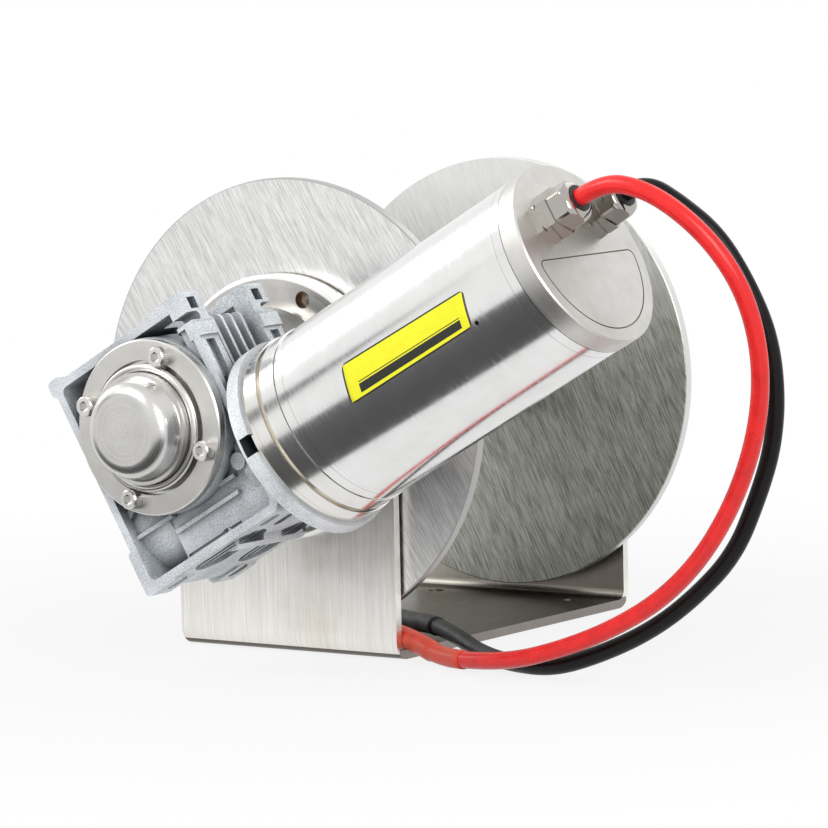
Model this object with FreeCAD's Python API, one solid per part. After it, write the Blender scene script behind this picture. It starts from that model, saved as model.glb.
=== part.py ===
"""Electric drum winch for a boat's anchor rope.

A bent plate frame carries a flanged rope drum. A worm gearbox hangs on the near leg, and a
tubular motor stands out of the gearbox at an angle, with two battery cables at its end.

Millimetres. +Z is up, +Y runs along the drum axis away from the gearbox, and +X is the side
that the motor leans to. The origin is the middle of the base's underside.
"""
import FreeCAD
import Part
import math
import os

from FreeCAD import Vector

# Frame, bent from one plate
FRAME_WIDTH = 140.0
PLATE = 4.8
BEND_INNER_RADIUS = 5.0
AXIS_HEIGHT = 131.0
LEG_TOP_RADIUS = FRAME_WIDTH / 2
BASE_HOLE_DIAMETER = 9.0
BASE_HOLE_FROM_SIDE = 25.0
BASE_HOLE_FROM_LEG = 22.0

# Round disc that stiffens the near leg and takes the gearbox
DISC_THICKNESS = 7.0
DISC_CHAMFER = 2.0
DISC_HOLE_DIAMETER = 9.0
DISC_HOLE_FROM_RIM = 9.5
DISC_HOLE_RING_RADIUS = LEG_TOP_RADIUS - DISC_HOLE_FROM_RIM
DISC_HOLE_ANGLE = 71.0
LEG_HOLE_DIAMETER = 7.0

# Shaft and drum
SHAFT_DIAMETER = 18.0
FLANGE_DIAMETER = 240.0
FLANGE_THICKNESS = 6.0
NEAR_FLANGE_GAP = 1.7
FAR_FLANGE_GAP = 5.7
DRUM_WIDTH = 199.0
BARREL_DIAMETER = 48.3
BARREL_WALL = 3.6
RUNNING_GAP = 0.05
FACE_GAP = 0.3
SHAFT_SPACER_WALL = 7.0
KEY_WIDTH = 6.0
KEY_LENGTH = 40.0
KEY_IN_SHAFT = 3.5
KEY_IN_HUB = 2.8
END_BOLT_RADIUS = 4.0
END_BOLT_LENGTH = 16.0
END_BOLT_FLATS = 13.0
END_BOLT_HEAD = 5.3
END_WASHER = 3.0
WASHER_RADIUS = 22.0
ROPE_HOLE_DIAMETER = 9.0
ROPE_HOLE_PLACE = 12.0
CLAMP_PLACE = 28.0
CLAMP_WIDTH = 18.0
CLAMP_HEIGHT = 6.0
CLAMP_SCREW_RADIUS = 2.5
CLAMP_HEAD_RADIUS = 4.2
CLAMP_HEAD = 5.0

# Gearbox, standard worm size with 40 between its two axes
CENTRE_DISTANCE = 40.0
TILT = 30.0
HOUSING_END = 50.0
HOUSING_LEFT = 48.5
HOUSING_RIGHT = 49.0
HOUSING_TOP = 49.0
HOUSING_FOOT = 71.5
HOUSING_HALF_DEPTH = 35.0
FOOT_PROUD = 2.5
FOOT_PAD = 1.2
FOOT_LENGTH = 22.0
FOOT_INNER = 19.5
FOOT_SHORT = 9.5
FOOT_STEP = 6.0
TOP_FOOT_LENGTH = 21.0
LOW_FOOT_HEIGHT = 25.5
BOSS_RADIUS = 45.5
BOSS_FRONT = 36.0
BOSS_REAR = 39.0
WALL = 4.5
CORNER_RADIUS = 7.0
FOOT_RADIUS = 3.0
WEB_HALF = 8.0
TUBE_RADIUS = 26.0
TUBE_FRONT = 26.5
TUBE_TOP = 22.0
TUBE_CORNER = 6.0
TUBE_BOSS_RADIUS = 28.0
TUBE_BOSS_LEFT = -44.0
TUBE_BOSS_RIGHT = -23.0
MOTOR_BOSS_RADIUS = 30.0
MOTOR_BOSS_LEFT = 34.0
CHAMBER_RADIUS = 33.5
CHAMBER_HALF = 17.0
SCREW_RING_RADIUS = 38.0
FIN_PITCH = 8.0
FIN_THICKNESS = 2.0
FIN_COUNT = 4
FIN_EDGE = 45.0
FIN_TOP = 39.5
FIN_RADIUS = 4.0
FIN_DEPTH = 5.5
FIN_LOW = -12.0
FIN_LEFT = 20.0
POCKET_SIZE = 6.5
POCKET_DEPTH = 6.0
POCKET_HEIGHT = 45.0
POCKET_OFFSET = 27.5
NOTCH_HEIGHT = 37.8
NOTCH_RADIUS = 2.3
NOTCH_INNER = 28.5
LUG_TOP = 33.5
LUG_LOW = 26.2
LUG_PROUD = 1.5
POST_DEPTH = 33.0
POST_THICKNESS = 11.0
RECESS_INNER = 24.0
RECESS_OUTER = 31.0
RECESS_DEPTH = 3.5
RECESS_LOW = 4.0
DARK_POCKET_DEPTH = 7.0
DARK_POCKET_LOW = -7.0
UNDER_SLOT_LENGTH = 46.0
UNDER_SLOT_WIDTH = 22.0
UNDER_SLOT_DEPTH = 8.0
UNDER_SLOT_CENTRE = -2.5
UNDER_SLOT_OFFSET = 18.5
UNDER_RIB_COUNT = 3
UNDER_RIB_THICKNESS = 1.8
UNDER_RIB_RECESS = 1.5
FOOT_SLOT_LENGTH = 13.0
FOOT_SLOT_WIDTH = 6.0
TUBE_RIB = 2.0
TUBE_RIB_PROUD = 3.0
LONG_RIB_START = -21.0
LONG_RIB_END = 25.0
LONG_RIB_DROP = 10.8
SHORT_RIB_START = 16.0
SHORT_RIB_END = 27.0
SHORT_RIB_DROP = 2.6
BOSS_RIB_END = -18.0
BOSS_RIB_DROP = 2.5
HALF_DISC_RADIUS = 6.0
HALF_DISC_PLACE = 7.0
HALF_DISC_PROUD = 3.0
PAD_RADIUS = 4.5
PAD_PLACE = 34.0
PAD_HEIGHT = -38.0
GUSSET = 3.5
GUSSET_ANGLES = (40.0, 141.0, 214.0)
GUSSET_INSET = 6.0
EYELET_RADIUS = 5.0
EYELET_HOLE = 2.2
EYELET_LENGTH = 6.0
EYELET_FROM_FOOT = 16.0
CORNER_SLOT_FROM_END = 12.0

# Gearbox inner parts
MODULE = 2.0
WHEEL_TEETH = 30
WHEEL_HALF_WIDTH = 9.0
WHEEL_BORE_RADIUS = 22.0
HUB_RADIUS = 15.0
HUB_SHOULDER_RADIUS = 18.0
OUTPUT_BEARING_RADIUS = 27.5
BEARING_WIDTH = 13.0
SEAL_WIDTH = 7.0
SEAL_RADIUS = 20.0
WORM_PITCH_RADIUS = 10.0
WORM_TURNS = 7
WORM_SHAFT_RADIUS = 7.5
WORM_BEARING_RADIUS = 17.5
WORM_BEARING_WIDTH = 11.0
WORM_BEARING_PLACE = 27.0
WORM_HALF_LENGTH = 42.0
WORM_FRONT_END = 48.0
INPUT_BORE_RADIUS = 5.5
MESH_GAP = 0.4

# Output cover
RING_RADIUS = 45.0
RING_BORE_RADIUS = 34.5
RING_THICKNESS = 5.0
CAP_BEAD_RADIUS = 32.8
CAP_BEAD_HEIGHT = 9.0
CAP_DOME_RADIUS = 28.7
CAP_STEP_HEIGHT = 13.0
CAP_STEP = 1.9
CAP_TAPER = math.radians(16)
CAP_SHOULDER = 7.5
CAP_HEIGHT = 26.0
CAP_WALL = 1.5
M6_RADIUS = 3.0
M6_HEAD_RADIUS = 5.0
M6_HEAD_HEIGHT = 6.0
M6_SOCKET = 5.0
M6_GRIP = 11.0

# Adapter between the gearbox and the disc
ADAPTER_LENGTH = 29.0
ADAPTER_FLANGE_RADIUS = DISC_HOLE_RING_RADIUS - 6.5
ADAPTER_FLANGE = 8.0
ADAPTER_HEAD = 6.0
ADAPTER_NECK_RADIUS = 31.0
ADAPTER_SPIGOT_RADIUS = 30.0
ADAPTER_BORE_RADIUS = 16.0
MOUNTING_SCREW_RING = ADAPTER_FLANGE_RADIUS - 10.5

# Motor, measured along its own axis from the foot of the line to the drum axis
INPUT_FLANGE_START = 54.0
INPUT_FLANGE_END = 62.0
INPUT_FLANGE_PROUD = 3.8
INPUT_NECK_RADIUS = 33.0
INPUT_HOLE_RADIUS = 15.0
WINDOW_WIDTH = 10.0
WINDOW_LENGTH = 6.0
WINDOW_DEPTH = 12.0
INPUT_SCREW_RING = 23.0
INPUT_SCREW_RADIUS = 2.5
INPUT_SCREW_HEAD = 5.0
BELL_END = 84.0
BELL_STEP_PROUD = 1.6
BELL_PROUD = 0.6
BELL_GROOVE = 73.5
BELL_GROOVE_WIDTH = 2.0
BELL_FRONT_WALL = 7.0
MOTOR_RADIUS = 49.0
MOTOR_WALL = 3.0
MOTOR_TUBE_END = 241.0
MOTOR_END = 252.0
SPIGOT_LENGTH = 6.0
MOTOR_SHAFT_RADIUS = 8.5
MOTOR_BEARING_RADIUS = 17.5
MOTOR_BEARING_WIDTH = 10.0
REAR_JOURNAL_RADIUS = 4.0
REAR_BEARING_RADIUS = 11.0
REAR_BEARING_WIDTH = 7.0
AIR_GAP = 1.0
ARMATURE_START = 114.0
ARMATURE_LENGTH = 72.0
ARMATURE_SLOTS = 12
ARMATURE_SLOT_DEPTH = 9.0
ARMATURE_SLOT_WIDTH = 4.0
MAGNET_THICKNESS = 8.0
MAGNET_OVERHANG = 4.0
MAGNET_GAP = 14.0
COMMUTATOR_RADIUS = 17.0
COMMUTATOR_START = 200.0
COMMUTATOR_LENGTH = 16.0
TIE_BOLT_RADIUS = 2.5
TIE_BOLT_CLEARANCE = 0.5
TIE_BOLT_END = 4.0
BRUSH_WIDTH = 8.0
BRUSH_HEIGHT = 10.0
BRUSH_LENGTH = 17.7
BRUSH_PLATE = 4.0
HOLDER_WIDTH = 16.0
PANEL_INSET = 7.0
PANEL_GROOVE = 0.7
PANEL_GROOVE_DEPTH = 0.5

# Cable glands
GLAND_SPACING = 41.0
GLAND_FROM_RIM = 21.1
GLAND_FLATS = 22.0
GLAND_NUT = 4.0
GLAND_BODY = 7.5
GLAND_DOME = 11.5
GLAND_STEM_RADIUS = 8.0
GLAND_STEM = 8.0
GLAND_DOME_RADIUS = 11.4
GLAND_DOME_FLATS = 20.4
GLAND_NOSE_RADIUS = 4.0
SEAL_PROUD = 0.5
GLAND_SEAL_RADIUS = 7.0

# Cables
CABLE_DIAMETER = 9.0
SLEEVE_WALL = 0.8
BEND_SHARE = 0.45
LUG_BARREL_RADIUS = 4.5
LUG_BARREL_LENGTH = 10.0
LUG_PALM = 2.5
LUG_EYE_RADIUS = 8.0
LUG_HOLE_RADIUS = 4.2
LUG_EYE_REACH = 12.0

# Far bearing
BEARING_FLANGE_RADIUS = 34.0
BEARING_FLANGE = 6.0
BEARING_BOSS_RADIUS = 20.0
BEARING_LENGTH = 20.0
BEARING_END_WALL = 5.0
BEARING_SPIGOT_RADIUS = 16.0
BEARING_SCREW_RING = 27.0
BUSH_RADIUS = 12.0
SHAFT_END_GAP = 1.0

# Places worked out from the sizes above
FRAME_DEPTH = DRUM_WIDTH + 2 * FLANGE_THICKNESS + 2 * PLATE + NEAR_FLANGE_GAP + FAR_FLANGE_GAP
NEAR_FACE = -FRAME_DEPTH / 2
NEAR_INNER = NEAR_FACE + PLATE
FAR_FACE = FRAME_DEPTH / 2
FAR_INNER = FAR_FACE - PLATE
DISC_FACE = NEAR_FACE - DISC_THICKNESS
GEAR_PLANE = DISC_FACE - ADAPTER_LENGTH - BOSS_REAR
NEAR_FLANGE_FACE = NEAR_INNER + NEAR_FLANGE_GAP
BARREL_START = NEAR_FLANGE_FACE + FLANGE_THICKNESS
BARREL_END = BARREL_START + DRUM_WIDTH
FAR_FLANGE_END = BARREL_END + FLANGE_THICKNESS
SHAFT_RADIUS = SHAFT_DIAMETER / 2
SHAFT_FAR_END = FAR_FACE + BEARING_LENGTH - BEARING_END_WALL
INPUT_FLANGE_RADIUS = MOTOR_RADIUS + INPUT_FLANGE_PROUD
BELL_STEP_RADIUS = MOTOR_RADIUS + BELL_STEP_PROUD
BELL_RADIUS = MOTOR_RADIUS + BELL_PROUD
ARMATURE_RADIUS = MOTOR_RADIUS - MOTOR_WALL - MAGNET_THICKNESS - AIR_GAP
PANEL_RADIUS = MOTOR_RADIUS - PANEL_INSET
GLAND_RADIUS = MOTOR_RADIUS - GLAND_FROM_RIM
PITCH_RADIUS = MODULE * WHEEL_TEETH / 2
WORM_PITCH = math.pi * MODULE
GLAND_FACE = MOTOR_END + GLAND_NUT + GLAND_BODY + GLAND_DOME
SOCKET_FACE = GLAND_FACE + SEAL_PROUD
SCREW_ANGLES = (45.0, 135.0, 225.0, 315.0)

X = Vector(1, 0, 0)
Y = Vector(0, 1, 0)
Z = Vector(0, 0, 1)

# The red and the black cable's corner points, chosen by eye, from the gland down to the base.
# Their middle number is the depth past the near leg's outer face.
RED_ROUTE = [
    (285, -93, 257), (306, -88, 246), (321, -82, 226), (330, -75, 204), (332, -67, 178),
    (326, -58, 151), (315, -50, 123), (298, -42, 95), (277, -36, 69), (251, -31, 47),
    (220, -28, 30), (189, -27, 18), (158, -24, 8), (124, -14, 6), (101, -2, 8),
    (80, 10, 19), (58, 18, 19), (36, 24, 11.5), (16, 28, 11.5),
]
BLACK_ROUTE = [
    (284, -52, 254), (302, -47, 239), (312, -41, 215), (318, -35, 187), (318, -29, 158),
    (313, -25, 129), (302, -22, 101), (285, -18, 73), (261, -15, 48), (235, -13, 29),
    (205, -12, 15), (173, -13, 7), (140, -4, 6), (109, 17, 8), (86, 32, 19),
    (61, 47, 19), (40, 59, 11.5), (22, 69, 11.5),
]
FIRST_RUN = 16.0
RED_SLEEVED_RUNS = 5
BLACK_SLEEVED_RUNS = 3


def cylinder(radius, start, end, axis=Y, centre=Vector(0, 0, 0)):
    """A round bar along an axis between two places on it."""
    return Part.makeCylinder(radius, end - start, centre + axis * start, axis)


def ring(outer, inner, start, end, axis=Y, centre=Vector(0, 0, 0)):
    """A round bar with a hole."""
    bar = cylinder(outer, start, end, axis, centre)
    return bar.cut(cylinder(inner, start - 1, end + 1, axis, centre))


def cone(radius_start, radius_end, start, end, axis=Y, centre=Vector(0, 0, 0)):
    """A tapered bar."""
    return Part.makeCone(radius_start, radius_end, end - start, centre + axis * start, axis)


def block(low, high):
    """A box between two corners."""
    size = Vector(*high) - Vector(*low)
    return Part.makeBox(size.x, size.y, size.z, Vector(*low))


def joined(shapes):
    """Several overlapping solids as one."""
    whole = shapes[0].fuse(list(shapes[1:]))
    return whole.removeSplitter()


def without(shape, cutters):
    """A solid with several others taken out of it."""
    return shape.cut(list(cutters))


def group(shapes):
    """Separate solids kept as one node."""
    return Part.makeCompound(list(shapes))


def on_circle(radius, angle):
    """A point on a circle about +Y, with the angle from +X towards +Z."""
    turn = math.radians(angle)
    return Vector(radius * math.cos(turn), 0, radius * math.sin(turn))


def hexagon(flats, start, end, axis, centre):
    """A six-sided bar about an axis."""
    points = []
    for side in range(6):
        turn = math.radians(60 * side)
        radius = flats / math.sqrt(3)
        points.append(Vector(radius * math.cos(turn), radius * math.sin(turn), 0))
    face = Part.Face(Part.makePolygon(points + [points[0]]))
    bar = face.extrude(Vector(0, 0, end - start))
    bar.Placement = FreeCAD.Placement(centre + axis * start, FreeCAD.Rotation(Z, axis))
    return bar


def on_drum_axis(shape):
    """Lifts a shape made about the Y axis to the drum's axis."""
    moved = shape.copy()
    moved.translate(Vector(0, 0, AXIS_HEIGHT))
    return moved


def on_gearbox(shape):
    """Places a shape made in the gearbox's own upright frame: X along the motor, Y into depth."""
    moved = shape.copy()
    moved.rotate(Vector(0, 0, 0), Y, -TILT)
    moved.translate(Vector(0, GEAR_PLANE, AXIS_HEIGHT))
    return moved


def cap_screw(length, face, centre, toward=1):
    """A socket cap screw about Y, with its head before the face and its shank past it."""
    axis = Y * toward
    place = Vector(centre.x, face, centre.z)
    head = cylinder(M6_HEAD_RADIUS, -M6_HEAD_HEIGHT, 0, axis, place)
    rim = head.Edges
    top = [edge for edge in rim if abs((edge.CenterOfMass - place).dot(axis) + M6_HEAD_HEIGHT) < 0.01]
    head = head.makeChamfer(0.6, [edge for edge in top if edge.isClosed()])
    socket = hexagon(M6_SOCKET, -M6_HEAD_HEIGHT - 1, -M6_HEAD_HEIGHT / 2, axis, place)
    return head.cut(socket).fuse(cylinder(M6_RADIUS, 0, length, axis, place))


# Frame

def leg_outline():
    """The shape of a leg seen along the drum axis, as a long bar."""
    post = block((-FRAME_WIDTH / 2, -FRAME_DEPTH, -1), (FRAME_WIDTH / 2, FRAME_DEPTH, AXIS_HEIGHT))
    return post.fuse(cylinder(LEG_TOP_RADIUS, -FRAME_DEPTH, FRAME_DEPTH, Y, Vector(0, 0, AXIS_HEIGHT)))


def bent_channel():
    """The plate bent into a U, before the legs are cut to shape."""
    top = AXIS_HEIGHT + LEG_TOP_RADIUS + 1
    half = FRAME_WIDTH / 2
    outer = block((-half, NEAR_FACE, 0), (half, FAR_FACE, top))
    inner = block((-half - 1, NEAR_INNER, PLATE), (half + 1, FAR_INNER, top + 1))
    outer = outer.makeFillet(BEND_INNER_RADIUS + PLATE, low_edges(outer, 0))
    inner = inner.makeFillet(BEND_INNER_RADIUS, low_edges(inner, PLATE))
    return outer.cut(inner)


def low_edges(box, height):
    """The two lower edges of a box that run along X."""
    found = []
    for edge in box.Edges:
        middle = edge.CenterOfMass
        along_x = edge.Length > FRAME_WIDTH - 1 and abs(middle.x) < 0.01
        if along_x and abs(middle.z - height) < 0.01:
            found.append(edge)
    return found


def disc_hole_places():
    """The four bolt holes through the disc and the near leg."""
    return [on_circle(DISC_HOLE_RING_RADIUS, DISC_HOLE_ANGLE + 90 * turn) for turn in range(4)]


def mounting_screw_places():
    """The four screws that hold the gearbox's adapter to the near leg."""
    return [on_circle(MOUNTING_SCREW_RING, angle + TILT) for angle in SCREW_ANGLES]


def mounting_frame():
    frame = bent_channel().common(leg_outline())
    cutters = []
    for side_x in (-1, 1):
        for side_y in (-1, 1):
            place = Vector(side_x * (FRAME_WIDTH / 2 - BASE_HOLE_FROM_SIDE),
                           side_y * (FRAME_DEPTH / 2 - BASE_HOLE_FROM_LEG), 0)
            cutters.append(cylinder(BASE_HOLE_DIAMETER / 2, -1, PLATE + 1, Z, place))
    cutters.append(on_drum_axis(cylinder(ADAPTER_BORE_RADIUS, NEAR_FACE - 1, NEAR_INNER + 1)))
    for place in disc_hole_places():
        hole = cylinder(LEG_HOLE_DIAMETER / 2, NEAR_FACE - 1, NEAR_INNER + 1, Y, place)
        cutters.append(on_drum_axis(hole))
    for place in mounting_screw_places():
        cutters.append(on_drum_axis(countersink(place)))
    cutters.append(on_drum_axis(cylinder(BEARING_SPIGOT_RADIUS, FAR_INNER - 1, FAR_FACE + 1)))
    for place in bearing_screw_places():
        hole = cylinder(M6_RADIUS, FAR_INNER - 1, FAR_FACE + 1, Y, place)
        cutters.append(on_drum_axis(hole))
    return without(frame, cutters)


def countersink(place):
    """The hole of a countersunk screw through the near leg, with its wide end inside."""
    head = cone(M6_RADIUS, 2 * M6_RADIUS, NEAR_INNER - M6_RADIUS, NEAR_INNER, Y, place)
    return head.fuse(cylinder(M6_RADIUS, NEAR_FACE - 1, NEAR_INNER, Y, place))


def gearbox_mounting_disc():
    disc = ring(LEG_TOP_RADIUS, ADAPTER_SPIGOT_RADIUS, DISC_FACE, NEAR_FACE)
    rim = [edge for edge in disc.Edges if edge.isClosed() and near(edge, DISC_FACE, LEG_TOP_RADIUS)]
    disc = disc.makeChamfer(DISC_CHAMFER, rim)
    holes = [cylinder(DISC_HOLE_DIAMETER / 2, DISC_FACE - 1, NEAR_FACE + 1, Y, place)
             for place in disc_hole_places()]
    holes += [cylinder(M6_RADIUS, DISC_FACE - 1, NEAR_FACE + 1, Y, place)
              for place in mounting_screw_places()]
    return on_drum_axis(without(disc, holes))


def near(edge, place, radius):
    """True for a round edge about Y at the given place and with the given radius."""
    curve = edge.Curve
    if not hasattr(curve, "Radius"):
        return False
    return abs(edge.CenterOfMass.y - place) < 0.01 and abs(curve.Radius - radius) < 0.01


def mounting_screws():
    screws = []
    for place in mounting_screw_places():
        head = cone(M6_RADIUS, 2 * M6_RADIUS, NEAR_INNER - M6_RADIUS, NEAR_INNER, Y, place)
        shank = cylinder(M6_RADIUS, DISC_FACE - ADAPTER_FLANGE + 1, NEAR_INNER - M6_RADIUS, Y, place)
        socket = hexagon(M6_SOCKET - 1, NEAR_INNER - 2, NEAR_INNER + 1, Y, place)
        screws.append(on_drum_axis(head.fuse(shank).cut(socket)))
    return group(screws)


# Far bearing

def bearing_screw_places():
    return [on_circle(BEARING_SCREW_RING, angle) for angle in SCREW_ANGLES]


def far_bearing_housing():
    end = FAR_FACE + BEARING_LENGTH
    flange = cylinder(BEARING_FLANGE_RADIUS, FAR_FACE, FAR_FACE + BEARING_FLANGE)
    boss = cone(BEARING_BOSS_RADIUS + 2, BEARING_BOSS_RADIUS, FAR_FACE, end)
    spigot = cylinder(BEARING_SPIGOT_RADIUS, FAR_INNER, FAR_FACE + 1)
    bore = cylinder(BUSH_RADIUS, FAR_INNER - 1, SHAFT_FAR_END + SHAFT_END_GAP)
    holes = [cylinder(M6_RADIUS, FAR_FACE - 1, FAR_FACE + BEARING_FLANGE + 1, Y, place)
             for place in bearing_screw_places()]
    return on_drum_axis(without(joined([flange, boss, spigot]), [bore] + holes))


def far_bush():
    return on_drum_axis(ring(BUSH_RADIUS, SHAFT_RADIUS + RUNNING_GAP, FAR_INNER, SHAFT_FAR_END))


def far_bearing_screws():
    screws = []
    for place in bearing_screw_places():
        screw = cap_screw(BEARING_FLANGE + PLATE, FAR_FACE + BEARING_FLANGE, place, -1)
        screws.append(on_drum_axis(screw))
    return group(screws)


def near_thrust_washer():
    thickness = NEAR_FLANGE_GAP - FACE_GAP
    return on_drum_axis(ring(WASHER_RADIUS, SHAFT_RADIUS + FACE_GAP, NEAR_INNER, NEAR_INNER + thickness))


# Drum

def drum_shaft():
    front = GEAR_PLANE - BOSS_FRONT + 0.5
    bar = cylinder(SHAFT_RADIUS, front, SHAFT_FAR_END)
    bolt_hole = cylinder(END_BOLT_RADIUS, front - 1, front + END_BOLT_LENGTH + 2)
    return on_drum_axis(without(bar, [bolt_hole, key_block()]))


def key_block():
    """The key between the shaft and the hub, about the drum's axis at height 0."""
    low = (-KEY_WIDTH / 2, GEAR_PLANE - KEY_LENGTH / 2, SHAFT_RADIUS - KEY_IN_SHAFT)
    high = (KEY_WIDTH / 2, GEAR_PLANE + KEY_LENGTH / 2, SHAFT_RADIUS + KEY_IN_HUB)
    return block(low, high)


def shaft_key():
    return on_drum_axis(key_block())


def drum_flange(start):
    plate = ring(FLANGE_DIAMETER / 2, SHAFT_RADIUS, start, start + FLANGE_THICKNESS)
    rims = [edge for edge in plate.Edges if edge.isClosed() and (
        near(edge, start, FLANGE_DIAMETER / 2)
        or near(edge, start + FLANGE_THICKNESS, FLANGE_DIAMETER / 2))]
    return on_drum_axis(plate.makeChamfer(0.5, rims))


def drum_barrel():
    radius = BARREL_DIAMETER / 2
    tube = ring(radius, radius - BARREL_WALL, BARREL_START, BARREL_END)
    rope_hole = cylinder(ROPE_HOLE_DIAMETER / 2, 0, radius + 1, X * -1,
                         Vector(0, BARREL_START + ROPE_HOLE_PLACE, 0))
    clamp_hole = cylinder(CLAMP_SCREW_RADIUS, 0, radius + 1, X * -1, clamp_centre())
    return on_drum_axis(without(tube, [rope_hole, clamp_hole]))


def clamp_centre():
    """The point of the drum's axis that the rope clamp's screw aims at."""
    return Vector(0, BARREL_START + CLAMP_PLACE, 0)


def rope_clamp():
    """A saddle on the barrel that pinches the rope's end."""
    radius = BARREL_DIAMETER / 2
    middle = BARREL_START + CLAMP_PLACE
    half = CLAMP_WIDTH / 2
    saddle = block((-radius - CLAMP_HEIGHT, middle - half, -half), (0, middle + half, half))
    saddle = saddle.cut(cylinder(radius, middle - CLAMP_WIDTH, middle + CLAMP_WIDTH))
    hole = cylinder(CLAMP_SCREW_RADIUS, 0, 2 * radius, X * -1, clamp_centre())
    return on_drum_axis(saddle.cut(hole))


def rope_clamp_screw():
    radius = BARREL_DIAMETER / 2
    top = radius + CLAMP_HEIGHT
    shank = cylinder(CLAMP_SCREW_RADIUS, radius - BARREL_WALL - 1, top, X * -1, clamp_centre())
    head = cylinder(CLAMP_HEAD_RADIUS, top, top + CLAMP_HEAD, X * -1, clamp_centre())
    socket = hexagon(CLAMP_HEAD_RADIUS, top + CLAMP_HEAD / 2, top + 2 * CLAMP_HEAD, X * -1, clamp_centre())
    return on_drum_axis(shank.fuse(head).cut(socket))


def far_spacer():
    outer = SHAFT_RADIUS + SHAFT_SPACER_WALL
    return on_drum_axis(ring(outer, SHAFT_RADIUS, FAR_FLANGE_END, FAR_INNER - FACE_GAP))


# Gearbox housing

def rounded_bar(low_x, high_x, low_z, high_z, start, end, radius):
    """A box along Y with its four long edges rounded."""
    box = block((low_x, start, low_z), (high_x, end, high_z))
    corners = [edge for edge in box.Edges if abs(edge.Length - (end - start)) < 0.01
               and abs(edge.tangentAt(edge.FirstParameter).y) > 0.99]
    return box.makeFillet(radius, corners)


def both_ends(low_x, high_x, low_z, high_z, inner, outer, radius=0.0):
    """The same bar at the front and at the back of the gearbox, between two depths."""
    bars = []
    for start, end in ((-outer, -inner), (inner, outer)):
        if radius:
            bars.append(rounded_bar(low_x, high_x, low_z, high_z, start, end, radius))
        else:
            bars.append(block((low_x, start, low_z), (high_x, end, high_z)))
    return bars


def housing_shell():
    """The square casting and its feet, with an open tray on each face and a web between them."""
    solids = [rounded_bar(-HOUSING_LEFT, HOUSING_RIGHT, -HOUSING_FOOT, HOUSING_TOP,
                          -HOUSING_HALF_DEPTH, HOUSING_HALF_DEPTH, CORNER_RADIUS)]
    left = -HOUSING_LEFT - FOOT_PROUD
    top = HOUSING_TOP + FOOT_PROUD
    low = -HOUSING_FOOT - FOOT_PAD
    depths = (FOOT_INNER, HOUSING_HALF_DEPTH)
    solids += both_ends(left, left + FOOT_SHORT, top - FOOT_SHORT, top, *depths, FOOT_RADIUS)
    solids += both_ends(left, left + FOOT_SHORT, low, low + LOW_FOOT_HEIGHT, *depths, FOOT_RADIUS)
    solids += both_ends(left, left + FOOT_LENGTH, low, low + FOOT_SHORT, *depths, FOOT_RADIUS)
    solids += both_ends(HOUSING_RIGHT - TOP_FOOT_LENGTH, HOUSING_RIGHT, top - FOOT_SHORT, top,
                        *depths, FOOT_RADIUS / 2)
    solids += both_ends(HOUSING_RIGHT - TOP_FOOT_LENGTH - FOOT_STEP, HOUSING_RIGHT,
                        top - FOOT_SHORT, top - FOOT_PROUD / 2, *depths)
    trays = []
    for start, end in ((-HOUSING_HALF_DEPTH - 1, -WEB_HALF), (WEB_HALF, HOUSING_HALF_DEPTH + 1)):
        trays.append(rounded_bar(-HOUSING_LEFT + WALL, HOUSING_RIGHT - WALL, -HOUSING_FOOT + WALL,
                                 HOUSING_TOP - WALL, start, end, CORNER_RADIUS / 2))
    return without(joined(solids), trays)


def fin_places():
    """The middle of each fin in depth."""
    first = -FIN_PITCH * (FIN_COUNT - 1) / 2
    return [first + FIN_PITCH * fin for fin in range(FIN_COUNT)]


def fin_grooves():
    """The space round the fins, cut out of the motor side and of the top beside it."""
    floor = FIN_EDGE - FIN_DEPTH
    high = HOUSING_TOP + 2 * FOOT_PROUD
    side = block((floor, -FOOT_INNER, FIN_LOW), (HOUSING_RIGHT + 1, FOOT_INNER, high))
    top = block((FIN_LEFT, -FOOT_INNER, FIN_TOP - FIN_DEPTH), (HOUSING_RIGHT + 1, FOOT_INNER, high))
    return [side, top]


def fins():
    """Thin cooling fins that run up the motor side and over the top."""
    plates = []
    for middle in fin_places():
        plates.append(rounded_bar(FIN_LEFT, FIN_EDGE, FIN_LOW - FIN_RADIUS, FIN_TOP,
                                  middle - FIN_THICKNESS / 2, middle + FIN_THICKNESS / 2, FIN_RADIUS))
    floor = FIN_EDGE - FIN_DEPTH
    roof = FIN_TOP - FIN_DEPTH
    wall = block((floor - WALL, -FOOT_INNER, FIN_LOW - 2), (floor, FOOT_INNER, roof))
    lid = block((FIN_LEFT - 4, -FOOT_INNER, roof - WALL), (floor, FOOT_INNER, roof))
    return plates + [wall, lid]


def corner_posts():
    """The solid corners beside the fins, with their lugs."""
    inner = HOUSING_RIGHT - POST_THICKNESS
    posts = both_ends(inner, HOUSING_RIGHT, LUG_TOP, HOUSING_TOP, FOOT_INNER, HOUSING_HALF_DEPTH)
    posts += both_ends(inner, HOUSING_RIGHT, FIN_LOW - 2, LUG_TOP, FOOT_INNER, POST_DEPTH)
    posts += both_ends(inner + FOOT_SHORT / 2, HOUSING_RIGHT + LUG_PROUD, LUG_LOW, LUG_TOP, FOOT_INNER,
                       HOUSING_HALF_DEPTH)
    return posts


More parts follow.
